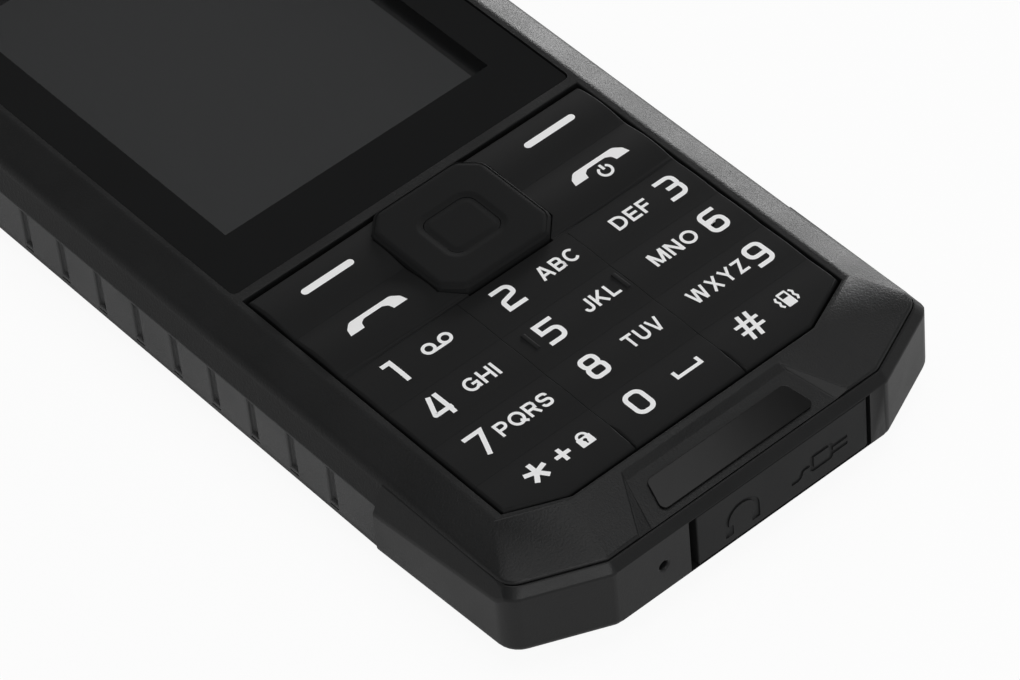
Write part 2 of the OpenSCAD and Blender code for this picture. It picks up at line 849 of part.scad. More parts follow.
module speaker_mesh() {
    outline = mid_box(speaker_x, camera_y, slot_len + 2 * speaker_mesh_edge, slot_count * slot_pitch);
    color("#202122") slab(rounded(outline, mesh_r), shell_t, shell_t + tape_t);
}
module camera_module() {
    half = camera_body_w / 2;
    body_z = board_z - camera_body_h;
    color("#1a1a1b") {
        block(-half, half, camera_y - half, camera_y + half, body_z, board_z);
        rod(0, camera_y, glass_sunk + glass_t + stop_gap, body_z + skin, camera_r);
    }
}
module camera_window() {
    color("#0d0e10") rod(0, camera_y, glass_sunk, glass_sunk + glass_t, camera_r + camera_rim);
}
module torch_led() {
    half = led_w / 2;
    color("#e8d78a")
        block(torch_x - half, torch_x + half, camera_y - half, camera_y + half, board_z - led_h, board_z);
}
module torch_lens() {
    color("#e6e8ea") {
        rod(torch_x, camera_y, glass_sunk, board_z - led_h - stop_gap, torch_r);
        rod(torch_x, camera_y, shell_t, shell_t + torch_flange_t, torch_flange_r);
    }
}

// Frame
module frame_shell() {
    intersection() {
        hull() {
            slab(body_plan(back_bevel_in), 0, skin);
            slab(body_plan(0), back_bevel_h, lip_low);
            slab(body_plan(lip_in), frame_top - skin, frame_top);
        }
        rotate([90, 0, 0]) linear_extrude(far, center = true) band_section();
    }
}
// Section of the bumpers, with their sloping sides
module band_section() {
    top_x = seam_x + seam_gap + seam_lip;
    low_x = top_x + frame_top * band_run / band_rise;
    polygon([[-low_x, 0], [low_x, 0], [top_x, frame_top], [-top_x, frame_top]]);
}
module rail_space() {
    both_sides() {
        block(rail_x, far, -rail_len / 2, rail_len / 2, -skin, far);
        block(rail_x - rail_t, far, -rail_len / 2, rail_len / 2, rail_z, rail_top);
        block(seam_x - seam_gap, far, -rail_len / 2, rail_len / 2, rail_top - skin, far);
    }
}
module cavities() {
    slab(seam_plan(-seam_gap), deck_z, far);
    slab(inner_plan, bay_top, far);
    intersection() {
        slab(inner_plan, cavity_z, far);
        union() {
            block(-far, far, -far, bay_low_y - bay_wall, cavity_z, far);
            block(-far, far, cover_high_y, far, cavity_z, far);
        }
    }
    intersection() {
        slab(inner_plan, shell_t, far);
        block(-far, far, cover_high_y + shelf_wall, far, shell_t, far);
    }
}
module seal_groove() {
    g = seam_gap / 2;
    ring_slab(seam_plan(seal_in - g), seam_plan(seal_in + seal_w + g), deck_z - seal_h - g, deck_z + skin);
}
module battery_bay() {
    slab(rounded(box_pts(-bay_x, bay_x, bay_low_y, bay_high_y), bay_r), -skin, bay_z);
    slab(cover_plan(seam_gap), -skin, recess_z);
    ring_slab(ring_plan(ring_w + fit_gap / 2), ring_plan(-fit_gap / 2), 0, cover_top + ring_h + stop_gap);
    sim_block(fit_gap, bay_z - holder_cut, far);
    card_block(fit_gap, bay_z - holder_cut, far);
    contact_block(fit_gap, bay_z - contact_drop - holder_in, far);
}
function cover_plan(d) =
    rounded(box_pts(-cover_x - d, cover_x + d, cover_low_y - d, cover_high_y + d), cover_r);
// Plan of the cover's seal, set out by d
function ring_plan(d) =
    let (x = bay_x + ring_in + d)
    rounded(box_pts(-x, x, bay_low_y - ring_in - d, bay_high_y + ring_high + ring_in + d), ring_r);
module holder(x, w, len, d, z0, z1) {
    low_y = bay_low_y + card_from_end;
    block(x - w / 2 - d, x + w / 2 + d, low_y - d, low_y + len + d, z0, z1);
}
module sim_block(d, z0, z1) { holder(sim_x, sim_w, sim_len, d, z0, z1); }
module card_block(d, z0, z1) { holder(card_x, card_w, card_len, d, z0, z1); }
module contact_block(d, z0, z1) {
    half = contact_w / 2 + d;
    block(-half, half, bay_high_y, bay_high_y + contact_len + d, z0, z1);
}
module door_space() {
    front = -end_y - stop_gap;
    low = door_low - door_gap;
    high = door_high + door_gap;
    usb_half = usb_w / 2 + usb_room;
    block(door_left - nail_gap, hinge_x, front, door_back + door_gap, low, high);
    rod(hinge_x, hinge_y, low, high, bead_r + door_gap);
    block(hinge_x - skin, hinge_x + bead_r + door_gap, front, hinge_y, low, high);
    rod_y(jack_x, jack_z, front, mouth_y, jack_r + plug_room);
    block(usb_x - usb_half, usb_x + usb_half, front, mouth_y, board_z - usb_h - usb_room, board_z + stop_gap);
    rod_y(mic_x, mic_z, front, mouth_y, mic_hole_r);
}
module speaker_slots() {
    for (k = [0:slot_count - 1]) {
        y = camera_y + slot_pitch * (k - (slot_count - 1) / 2);
        slab(rounded(mid_box(speaker_x, y, slot_len, slot_w), slot_w / 2 - skin), -skin, far);
    }
}
module back_holes() {
    rod(0, camera_y, -skin, glass_sunk + glass_t + stop_gap, camera_r + camera_rim + seam_gap);
    rod(0, camera_y, -skin, far, camera_r + seam_gap);
    rod(torch_x, camera_y, -skin, far, torch_r + seam_gap);
    speaker_slots();
    screw_spots() {
        rod(0, 0, -skin, far, screw_r + head_gap);
        rod(0, 0, -skin, screw_seat_z, screw_head_r + head_gap);
    }
    both_sides() rod(lock_x, lock_y, 0, lock_end_z + lock_end_gap, lock_shank_r + turn_gap);
}
module pillars() {
    screw_spots() rod(0, 0, shell_t / 2, bay_top, pillar_r);
    both_sides() rod(lock_x, lock_y, recess_z, bay_top, lock_pillar_r);
}
module rear_frame() {
    color("#262729") difference() {
        union() {
            difference() {
                frame_shell();
                rail_space();
                cavities();
            }
            intersection() {
                frame_shell();
                pillars();
            }
        }
        seal_groove();
        battery_bay();
        door_space();
        back_holes();
    }
}
module rail() {
    low_y = groove_pitch * (1 - groove_count) / 2 + groove_shift;
    difference() {
        block(rail_x - rail_t, rail_x, -rail_len / 2 + seam_gap, rail_len / 2 - seam_gap,
            rail_z + seam_gap / 2, rail_top - seam_gap);
        for (k = [0:groove_count - 1]) {
            translate([0, low_y + k * groove_pitch, 0])
                block(rail_x - groove_t, far, -groove_w / 2, groove_w / 2, 0, rail_top - groove_land);
        }
    }
}
module left_rail() { color("#55575a") mirror([1, 0, 0]) rail(); }
module right_rail() { color("#55575a") rail(); }

// Battery, cover and fasteners
module battery() {
    outline = box_pts(-battery_w / 2, battery_w / 2, bay_low_y + fit_gap, bay_high_y - fit_gap);
    color("#3b3d42") slab(rounded(outline, bay_r), battery_z, battery_z + battery_t);
}
module battery_contacts() {
    color("#c9a24a") contact_block(0, bay_z - contact_drop, board_z);
}
module sim_socket() {
    color("#b2b4b8") sim_block(0, bay_z + holder_in, board_z);
}
module memory_card_socket() {
    color("#b2b4b8") card_block(0, bay_z + holder_in, board_z);
}
module battery_cover() {
    color("#262729") difference() {
        slab(cover_plan(0), cover_sunk, cover_top);
        both_sides() {
            rod(lock_x, lock_y, -skin, cover_sunk + lock_head_h + turn_gap, cover_screw_r + head_gap);
            rod(lock_x, lock_y, -skin, far, lock_shank_r + turn_gap);
        }
    }
}
module cover_seal() {
    color("#141414") ring_slab(ring_plan(ring_w), ring_plan(0), cover_top, cover_top + ring_h);
}
module cover_screw() {
    head_z = cover_sunk + turn_gap / 2;
    color("#8f9296") difference() {
        union() {
            rod(lock_x, lock_y, head_z, head_z + lock_head_h, cover_screw_r);
            rod(lock_x, lock_y, head_z + skin, lock_end_z, lock_shank_r);
        }
        translate([lock_x, lock_y, 0]) cube([far, lock_slot_w, 2 * (head_z + lock_slot_t)], center = true);
    }
}
module cover_screw_left() { mirror([1, 0, 0]) cover_screw(); }
module cover_screw_right() { cover_screw(); }
module case_screws() {
    low_z = screw_seat_z - screw_head_h;
    color("#6f7276") screw_spots() difference() {
        union() {
            rod(0, 0, low_z, screw_seat_z, screw_head_r);
            rod(0, 0, low_z + skin, screw_end_z, screw_r);
        }
        rod(0, 0, low_z - skin, low_z + screw_socket_t, screw_r, $fn = 6);
    }
}
module port_door() {
    usb_half = usb_w / 2 - plug_slack;
    color("#222324") {
        block(door_left, hinge_x, -end_y, door_back, door_low, door_high);
        rod(hinge_x, hinge_y, door_low, door_high, bead_r);
        rod_y(jack_x, jack_z, door_back - skin, door_back + plug_len, jack_r + plug_slack);
        block(usb_x - usb_half, usb_x + usb_half, door_back - skin, door_back + plug_len,
            board_z - usb_h + plug_slack, board_z - plug_slack);
    }
}

front_housing();
display_window();
window_adhesive();
lcd_module();
display_flex();
earpiece();
earpiece_mesh();
badge_plate();
housing_seal();
keypad_mat();
key_1();
key_2();
key_3();
key_4();
key_5();
key_6();
key_7();
key_8();
key_9();
key_star();
key_0();
key_hash();
soft_key_left();
soft_key_right();
call_key();
end_key();
nav_ring();
nav_pad();
ok_key();
snap_domes();
main_board();
shield_cans();
usb_socket();
headphone_jack();
microphone();
vibration_motor();
antenna();
loudspeaker();
speaker_mesh();
camera_module();
camera_window();
torch_led();
torch_lens();
rear_frame();
left_rail();
right_rail();
battery();
battery_contacts();
sim_socket();
memory_card_socket();
battery_cover();
cover_seal();
cover_screw_left();
cover_screw_right();
case_screws();
port_door();
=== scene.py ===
"""Looks of a rugged keypad phone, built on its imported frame.

Tables and sizes are in millimetres on the frame's axes: x to the right of the keypad,
y towards the earpiece, z out of the display.
"""

import json
import math

import bpy
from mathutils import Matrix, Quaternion, Vector

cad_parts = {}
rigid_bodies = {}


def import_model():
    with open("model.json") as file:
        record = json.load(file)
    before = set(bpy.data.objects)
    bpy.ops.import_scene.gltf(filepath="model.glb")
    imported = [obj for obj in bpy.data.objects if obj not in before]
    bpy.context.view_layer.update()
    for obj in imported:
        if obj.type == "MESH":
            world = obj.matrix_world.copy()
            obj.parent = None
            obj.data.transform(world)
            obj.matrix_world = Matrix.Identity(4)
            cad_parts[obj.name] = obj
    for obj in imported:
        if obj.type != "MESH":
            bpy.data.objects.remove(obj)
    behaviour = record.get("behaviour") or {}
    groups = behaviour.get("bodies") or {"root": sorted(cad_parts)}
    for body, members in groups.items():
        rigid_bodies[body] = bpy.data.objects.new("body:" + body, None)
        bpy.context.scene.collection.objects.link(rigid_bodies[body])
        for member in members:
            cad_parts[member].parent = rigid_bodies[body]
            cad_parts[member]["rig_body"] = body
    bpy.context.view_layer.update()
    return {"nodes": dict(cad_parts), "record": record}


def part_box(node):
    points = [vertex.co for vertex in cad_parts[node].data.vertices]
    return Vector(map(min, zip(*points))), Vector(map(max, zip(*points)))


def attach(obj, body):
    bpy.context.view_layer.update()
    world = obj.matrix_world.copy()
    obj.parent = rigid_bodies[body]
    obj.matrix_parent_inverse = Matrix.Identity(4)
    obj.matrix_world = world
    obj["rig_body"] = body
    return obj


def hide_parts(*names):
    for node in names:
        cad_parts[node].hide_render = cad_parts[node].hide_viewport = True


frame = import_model()
nodes = frame["nodes"]
slot_of = {part["node"]: part["material_slot"] for part in frame["record"]["subparts"]}
scene = bpy.context.scene
MM = 0.001

# Camera, solved from the photograph
EYE = (-240.162, -351.478, 425.129)
AIM = (-7.261, -36.265, 15.1)
ROLL_DEG = -5.939
LENS_MM = 184.941

# Tolerances, in millimetres and degrees
MERGE = 0.002
NEAR = 0.01
TOUCH = 0.001
FLAT_DEG = 0.5
SHARP_DEG = 7

# Share of a normal along an axis: a level face, one that faces that way, one that leans,
# a wall (no more than this), and one that barely does
LEVEL = 0.99
FACING = 0.9
LEANING = 0.5
WALL = 0.3
BARELY = 0.05

# Weight of the faces in smooth shading: large faces kept flat, or all faces alike
KEEP_FLAT = 90
ALIKE = 50

# Roundings of the front shell, and of the plate and window let into it
RIM_ROUND = 0.3
CREASE_ROUND = 0.5
BAND_ROUND = 0.9
OPENING_ROUND = 0.16
OPENING_LOW_ROUND = 0.14
CHIN_ROUND = 0.12
SHELL_FOOT_ROUND = 0.32
PLATE_ROUND = 0.05
GLASS_ROUND = 0.08

# Roundings of the bumper frame, its grips, its door and the back cover
MIC_ROUND = 0.35
LIP_TOP_ROUND = 0.1
LIP_ROUND = 0.2
CORNER_ROUND = 0.12
SHOULDER_ROUND = 0.4
BACK_ROUND = 0.5
GRIP_ROUND = 0.2
BAR_ROUND = 0.12
DOOR_ROUND = 0.15
SIGN_ROUND = 0.14
COVER_ROUND = 0.35

# Roundings of the keys
COLUMN_ROUND = 0.06
END_ROUND = 0.42
RIGHT_END_ROUND = 0.2
ROCKER_ROUND = 0.5
RIDGE_ROUND = 0.14

# Keys stand this close to each other once their gaps are drawn together
KEY_SLIT = 0.02

# Soft valleys between the rows of keys
VALLEY_REACH = 2.0
VALLEY_RISE = -0.02
VALLEY_FOLDS = (0.15, 0.3, 0.45, 0.6, 0.8, 1.0, 1.25, 1.5, 1.75, 2.0)

# Rocker drawn up to the keys around it, with a soft valley round its centre key
ROCKER_GROW = 0.2
CENTRE_SLIT = 0.03
CENTRE_VALLEY = 0.9
CENTRE_LOOPS = 5
ROCKER_DROP = 0.12
CENTRE_DROP = 0.08
CENTRE_LIFT = 0.17
ROCKER_UP = 0.4

# Ink on the key faces, with lines that cross laid over each other in thin layers
INK_START = 1.0
INK_LIFT = 0.012
INK_LAYER = 0.005
INK_LAYERS = 5
INK_COAT = 0.03
INK_FOLD = 0.35
DIGIT_W = 2.65
DIGIT_H = 3.75
DIGIT_STROKE = 0.58
LETTER_H = 2.12
LETTER_STROKE = 0.37
LETTER_GAP = 0.34


# Working on meshes

def only(obj):
    """Selects one object and makes it the active one."""
    bpy.ops.object.select_all(action="DESELECT")
    obj.select_set(True)
    bpy.context.view_layer.objects.active = obj


def open_mesh(obj):
    """Goes into edit mode with everything selected."""
    only(obj)
    bpy.ops.object.mode_set(mode="EDIT")
    bpy.ops.mesh.select_all(action="SELECT")


def close_mesh():
    bpy.ops.object.mode_set(mode="OBJECT")


def pick(obj, chosen):
    """Goes into edit mode with only the chosen vertices selected."""
    open_mesh(obj)
    bpy.ops.mesh.select_all(action="DESELECT")
    close_mesh()
    for vertex in obj.data.vertices:
        vertex.select = chosen(vertex.co / MM)
    bpy.ops.object.mode_set(mode="EDIT")


def shift(obj, chosen, move, **falloff):
    """Moves the chosen vertices of a piece."""
    pick(obj, chosen)
    bpy.ops.transform.translate(value=move, **falloff)
    close_mesh()


def shift_side(obj, axis, place, by):
    """Moves the vertices that lie on one flat side of a piece along its axis."""
    move = Vector((0, 0, 0))
    move[axis] = by
    shift(obj, lambda at: abs(at[axis] * MM - place) < NEAR * MM, move)


def finish_with(obj, kind, **settings):
    """Adds a modifier with these settings and applies it."""
    modifier = obj.modifiers.new(kind.title(), kind)
    for setting, value in settings.items():
        setattr(modifier, setting, value)
    only(obj)
    bpy.ops.object.modifier_apply(modifier=modifier.name)


def copy_of(node, name):
    """A copy of a CAD node with its loose triangles joined into whole faces."""
    obj = bpy.data.objects.new(name, nodes[node].data.copy())
    scene.collection.objects.link(obj)
    only(obj)
    bpy.ops.mesh.customdata_custom_splitnormals_clear()
    open_mesh(obj)
    bpy.ops.mesh.remove_doubles(threshold=MERGE * MM)
    bpy.ops.mesh.dissolve_limited(angle_limit=math.radians(FLAT_DEG))
    close_mesh()
    obj.data.materials.clear()
    return obj


def faces_at_edges(mesh):
    """The normals of the faces that meet at each edge."""
    around = {key: [] for key in mesh.edge_keys}
    for face in mesh.polygons:
        for key in face.edge_keys:
            around[key].append(face.normal.copy())
    return around


def round_edges(obj, width_at, segments=6, slide=False):
    """Rounds each sharp edge by the width that width_at gives for it.

    width_at gets the edge's middle and the normals of its two faces, the upper one first.
    """
    mesh = obj.data
    around = faces_at_edges(mesh)
    widths = []
    for edge in mesh.edges:
        normals = sorted(around[edge.key], key=lambda n: -n.z)
        width = 0.0
        if len(normals) == 2 and normals[0].angle(normals[1], 0) > math.radians(SHARP_DEG):
            ends = [mesh.vertices[v].co for v in edge.vertices]
            width = width_at((ends[0] + ends[1]) / 2 / MM, *normals)
        widths.append(width)
    widest = max(widths)
    weights = mesh.attributes.new("bevel_weight_edge", "FLOAT", "EDGE")
    weights.data.foreach_set("value", [width / widest for width in widths])
    finish_with(obj, "BEVEL", limit_method="WEIGHT", width=widest * MM, segments=segments,
                use_clamp_overlap=False, loop_slide=slide, miter_outer="MITER_SHARP")


def smooth(obj, angle=18, weight=KEEP_FLAT):
    """Smooth shading over edges below an angle in degrees."""
    only(obj)
    bpy.ops.object.shade_smooth_by_angle(angle=math.radians(angle))
    finish_with(obj, "WEIGHTED_NORMAL", keep_sharp=True, weight=weight)


def stands_for(obj, node, finish):
    """Gives a piece its finish and sets it in the place of a CAD node."""
    obj.data.materials.append(finish)
    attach(obj, nodes[node]["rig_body"])
    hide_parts(node)


def joined(objs, name):
    """One object of several."""
    bpy.ops.object.select_all(action="DESELECT")
    for obj in objs:
        obj.select_set(True)
    bpy.context.view_layer.objects.active = objs[0]
    if len(objs) > 1:
        bpy.ops.object.join()
    objs[0].name = name
    return objs[0]


# Finishes

def add_node(tree, kind, **inputs):
    node = tree.nodes.new(kind)
    for socket, value in inputs.items():
        node.inputs[socket].default_value = value
    return node


def reckon(tree, operation, *terms):
    """The result of a Math node on these numbers and sockets."""
    node = tree.nodes.new("ShaderNodeMath")
    node.operation = operation
    for socket, term in zip(node.inputs, terms):
        if isinstance(term, bpy.types.NodeSocket):
            tree.links.new(term, socket)
        else:
            socket.default_value = term
    return node.outputs["Value"]


def graded(tree, source, span, levels):
    """A value brought from one span to another."""
    node = tree.nodes.new("ShaderNodeMapRange")
    node.inputs["From Min"].default_value, node.inputs["From Max"].default_value = span
    node.inputs["To Min"].default_value, node.inputs["To Max"].default_value = levels
    tree.links.new(source, node.inputs["Value"])
    return node.outputs["Result"]


# Scale of the slow changes of tone, share of the fine grain in the gloss, and the gloss's span
PATCHES = 90.0
GRAIN_IN_GLOSS = 0.35
GLOSS_SPAN = (0.45, 0.9)


def grain_group():
    """Moulding grain: fine height, and slow changes of tone and gloss over the surface."""
    tree = bpy.data.node_groups.new("Moulding grain", "ShaderNodeTree")
    for name in ("Grain", "Patches"):
        tree.interface.new_socket(name, in_out="INPUT", socket_type="NodeSocketFloat")
    for name in ("Height", "Tone", "Gloss"):
        tree.interface.new_socket(name, in_out="OUTPUT", socket_type="NodeSocketFloat")
    entry = tree.nodes.new("NodeGroupInput")
    result = tree.nodes.new("NodeGroupOutput")
    place = tree.nodes.new("ShaderNodeTexCoord")
    fine = add_node(tree, "ShaderNodeTexNoise", Detail=3.0, Roughness=0.6)
    broad = add_node(tree, "ShaderNodeTexNoise", Detail=4.0, Roughness=0.55)
    gloss = reckon(tree, "MULTIPLY_ADD", fine.outputs["Fac"], GRAIN_IN_GLOSS, broad.outputs["Fac"])
    tree.links.new(place.outputs["Object"], fine.inputs["Vector"])
    tree.links.new(place.outputs["Object"], broad.inputs["Vector"])
    tree.links.new(entry.outputs["Grain"], fine.inputs["Scale"])
    tree.links.new(entry.outputs["Patches"], broad.inputs["Scale"])
    tree.links.new(fine.outputs["Fac"], result.inputs["Height"])
    tree.links.new(broad.outputs["Fac"], result.inputs["Tone"])
    tree.links.new(gloss, result.inputs["Gloss"])
    return tree


GRAIN = grain_group()


def moulded(name, dark, light, rough, grain, depth, **shader_values):
    """A finish with grain: two colours, a range of roughness, and bump of a depth in mm."""
    finish = bpy.data.materials.new(name)
    finish.use_nodes = True
    tree = finish.node_tree
    shader = tree.nodes["Principled BSDF"]
    for socket, value in shader_values.items():
        shader.inputs[socket.replace("_", " ")].default_value = value
    surface = add_node(tree, "ShaderNodeGroup")
    surface.node_tree = GRAIN
    surface.inputs["Grain"].default_value = grain
    surface.inputs["Patches"].default_value = PATCHES
    tone = tree.nodes.new("ShaderNodeMix")
    tone.data_type = "RGBA"
    tone.inputs["A"].default_value = (*dark, 1)
    tone.inputs["B"].default_value = (*light, 1)
    gloss = graded(tree, surface.outputs["Gloss"], GLOSS_SPAN, rough)
    bump = add_node(tree, "ShaderNodeBump", Strength=1.0, Distance=depth * MM)
    tree.links.new(surface.outputs["Tone"], tone.inputs["Factor"])
    tree.links.new(surface.outputs["Height"], bump.inputs["Height"])
    tree.links.new(tone.outputs["Result"], shader.inputs["Base Color"])
    tree.links.new(gloss, shader.inputs["Roughness"])
    tree.links.new(bump.outputs["Normal"], shader.inputs["Normal"])
    return finish


def grey(level, tint=0.0):
    """A neutral colour, warmer or cooler by a small tint."""
    return (level * (1 - tint), level, level * (1 + tint))


FINISHES = {
    "housing": moulded("satin_housing", grey(0.0075, 0.02), grey(0.0105, 0.02),
        (0.34, 0.46), 4000, 0.045, Specular_IOR_Level=0.22),
    "frame": moulded("satin_bumper", grey(0.0066, 0.02), grey(0.0088, 0.02),
        (0.36, 0.46), 4500, 0.02, Specular_IOR_Level=0.22),
    "rail": moulded("grainy_grip", grey(0.042, 0.01), grey(0.06, 0.01), (0.6, 0.78), 4500, 0.06),
    "keys": moulded("key_rubber", grey(0.0064, 0.02), grey(0.0082, 0.02),
        (0.54, 0.66), 5000, 0.004, Specular_IOR_Level=0.12),
    "nav": moulded("rocker_rubber", grey(0.0074, 0.02), grey(0.0094, 0.02),
        (0.62, 0.72), 5000, 0.004, Specular_IOR_Level=0.08),
    "mat": moulded("mat_rubber", grey(0.012), grey(0.016), (0.6, 0.75), 3500, 0.006),
    "tape": moulded("black_tape", grey(0.006), grey(0.009), (0.7, 0.85), 2500, 0.01),
    "flex": moulded("amber_flex", (0.30, 0.12, 0.02), (0.38, 0.16, 0.03), (0.35, 0.5), 1800, 0.004),
    "earpiece": moulded("earpiece_can", grey(0.12), grey(0.16),
        (0.4, 0.55), 2600, 0.004, Metallic=0.6),
    "mesh": moulded("black_mesh", grey(0.006), grey(0.03), (0.5, 0.8), 1500, 0.06),
    "badge": moulded("chin_plate_gloss", grey(0.003), grey(0.0045),
        (0.09, 0.12), 900, 0.0003, Specular_IOR_Level=0.16),
    "seal": moulded("seal_rubber", grey(0.008), grey(0.012), (0.6, 0.75), 3500, 0.006),
    "steel": moulded("drawn_steel", grey(0.46, -0.01), grey(0.56, -0.01),
        (0.22, 0.38), 2200, 0.003, Metallic=1.0),
    "board": moulded("board_mask", (0.008, 0.07, 0.028), (0.012, 0.1, 0.04),
        (0.3, 0.45), 1600, 0.006),
    "socket": moulded("socket_shell", grey(0.2), grey(0.27),
        (0.28, 0.42), 2400, 0.004, Metallic=0.8),
    "contact": moulded("gold_contact", (0.62, 0.4, 0.12), (0.72, 0.48, 0.16),
        (0.2, 0.35), 2600, 0.002, Metallic=1.0),
    "lens": moulded("lens_glass", grey(0.004, 0.1), grey(0.008, 0.15),
        (0.03, 0.07), 600, 0.0005, Coat_Weight=1.0),
    "led": moulded("led_phosphor", (0.72, 0.55, 0.12), (0.82, 0.66, 0.2), (0.4, 0.55), 1800, 0.006),
    "torch": moulded("torch_lens_clear", grey(0.55, 0.02), grey(0.68, 0.02),
        (0.08, 0.16), 1200, 0.02),
    "battery": moulded("battery_wrap", grey(0.05, 0.06), grey(0.07, 0.06),
        (0.45, 0.6), 1400, 0.004),
    "screw": moulded("blackened_screw", grey(0.045), grey(0.075),
        (0.3, 0.45), 2800, 0.004, Metallic=0.9),
    "door": moulded("door_rubber", grey(0.009, 0.02), grey(0.012, 0.02),
        (0.5, 0.62), 4500, 0.008, Specular_IOR_Level=0.16),
    "ink": moulded("white_legend_ink", grey(0.88), grey(0.94), (0.5, 0.62), 2600, 0.004),
}


def panel_group():
    """A rectangle on the face: 1 within its half width and between its ends, else 0."""
    tree = bpy.data.node_groups.new("Face panel", "ShaderNodeTree")
    for name in ("Half width", "Middle", "Half length"):
        tree.interface.new_socket(name, in_out="INPUT", socket_type="NodeSocketFloat")
    tree.interface.new_socket("Inside", in_out="OUTPUT", socket_type="NodeSocketFloat")
    entry = tree.nodes.new("NodeGroupInput")
    result = tree.nodes.new("NodeGroupOutput")
    place = tree.nodes.new("ShaderNodeTexCoord")
    split = tree.nodes.new("ShaderNodeSeparateXYZ")
    tree.links.new(place.outputs["Object"], split.inputs["Vector"])
    across = reckon(tree, "COMPARE", split.outputs["X"], 0.0, entry.outputs["Half width"])
    along = reckon(tree, "COMPARE", split.outputs["Y"], entry.outputs["Middle"],
                   entry.outputs["Half length"])
    tree.links.new(reckon(tree, "MULTIPLY", across, along), result.inputs["Inside"])
    return tree


PANEL = panel_group()


def panel_on(tree, half_w, low, high):
    """The mask of a rectangle, given in mm."""
    panel = add_node(tree, "ShaderNodeGroup")
    panel.node_tree = PANEL
    panel.inputs["Half width"].default_value = half_w * MM
    panel.inputs["Middle"].default_value = (low + high) / 2 * MM
    panel.inputs["Half length"].default_value = (high - low) / 2 * MM
    return panel.outputs["Inside"]


# Opening of the window's printed border, and how much light it lets through
PRINT_HALF = 19.25
PRINT_LOW = -1.65
PRINT_HIGH = 50.4
PRINT_CLEAR = 0.65

# Picture area of the display under it, and its grey
ACTIVE_HALF = 18.36
ACTIVE_LOW = 0.0
ACTIVE_HIGH = 48.96
ACTIVE_GREY = 0.078


def window_finish():
    """Gloss window: a black printed border, and a smoky middle that the display shows through."""
    finish = moulded("display_gloss", grey(0.0035, 0.05), grey(0.0045, 0.05),
                     (0.06, 0.1), 700, 0.0003, Specular_IOR_Level=0.24)
    tree = finish.node_tree
    inside = panel_on(tree, PRINT_HALF, PRINT_LOW, PRINT_HIGH)
    print_cover = reckon(tree, "MULTIPLY_ADD", inside, -PRINT_CLEAR, 1.0)
    seen = tree.nodes.new("ShaderNodeNewGeometry")
    front = reckon(tree, "SUBTRACT", 1.0, seen.outputs["Backfacing"])
    tree.links.new(reckon(tree, "MULTIPLY", print_cover, front),
                   tree.nodes["Principled BSDF"].inputs["Alpha"])
    return finish


def display_finish():
    """Display under the window: a dim grey picture area on a darker edge."""
    finish = moulded("display_stack", grey(0.016, 0.02), grey(0.019, 0.02),
                     (0.1, 0.16), 900, 0.0005)
    tree = finish.node_tree
    shader = tree.nodes["Principled BSDF"]
    edge = shader.inputs["Base Color"].links[0].from_socket
    shown = tree.nodes.new("ShaderNodeMix")
    shown.data_type = "RGBA"
    shown.inputs["B"].default_value = (*grey(ACTIVE_GREY, 0.02), 1)
    tree.links.new(panel_on(tree, ACTIVE_HALF, ACTIVE_LOW, ACTIVE_HIGH), shown.inputs["Factor"])
    tree.links.new(edge, shown.inputs["A"])
    tree.links.new(shown.outputs["Result"], shader.inputs["Base Color"])
    return finish


FINISHES["window"] = window_finish()
FINISHES["display"] = display_finish()

for node, obj in nodes.items():
    obj.material_slots[0].material = FINISHES[slot_of[node]]


# Front shell, bumper frame and what is let into them

# Places on the shell where its roundings change
BAND_X = 29
BESIDE_KEYS_X = 20
CHIN_HALF = 22
CHIN_Y = -54
WINDOW_Y = -10.5
SHELL_LOW_Z = 12.9
SHELL_FOOT_Z = 13.3
SHELL_TOP_Z = 15
CREASE_DEG = 40

# Lower corner of the chin recess, and how far it flares outwards
RECESS_END = (13.25, -65.8, 13.2)
RECESS_REACH = 0.05
RECESS_FLARE = 1.8


def shell_rounding(middle, upper, lower):
    """Soft bands at the sides, small roundings at the chin, and none beside the window."""
    if abs(middle.x) > BAND_X and lower.z > WALL:
        return BAND_ROUND
    if middle.x < -BESIDE_KEYS_X and lower.x > LEANING:
        return 0
    if middle.z < SHELL_LOW_Z or abs(lower.x) + abs(lower.y) < BARELY:
        return 0
    at_chin = middle.y < CHIN_Y and abs(middle.x) < CHIN_HALF
    if upper.z > LEVEL:
        if lower.z >= WALL:
            return CHIN_ROUND if at_chin else RIM_ROUND
        if middle.y > WINDOW_Y:
            return 0
        return OPENING_LOW_ROUND if at_chin else OPENING_ROUND
    crease = lower.z > WALL and upper.angle(lower) < math.radians(CREASE_DEG)
    if crease and abs(middle.x) > BESIDE_KEYS_X:
        if middle.z >= SHELL_TOP_Z:
            return 0
        return CREASE_ROUND if middle.x < 0 else CHIN_ROUND
    if middle.z < SHELL_FOOT_Z:
        return SHELL_FOOT_ROUND if abs(middle.x) > RECESS_END[0] + RECESS_FLARE else 0
    return CHIN_ROUND


shell = copy_of("front_housing", "front_shell")
for side in (-1, 1):
    corner = Vector((side * RECESS_END[0], *RECESS_END[1:]))
    shift(shell, lambda at: (at - corner).length < RECESS_REACH, (side * RECESS_FLARE * MM, 0, 0))
round_edges(shell, shell_rounding)
smooth(shell)
stands_for(shell, "front_housing", FINISHES["housing"])


def plate_rounding(middle, upper, lower):
    return PLATE_ROUND if upper.z > FACING and abs(lower.z) < LEANING else 0


plate = copy_of("badge_plate", "chin_plate")
round_edges(plate, plate_rounding)
smooth(plate)
stands_for(plate, "badge_plate", FINISHES["badge"])


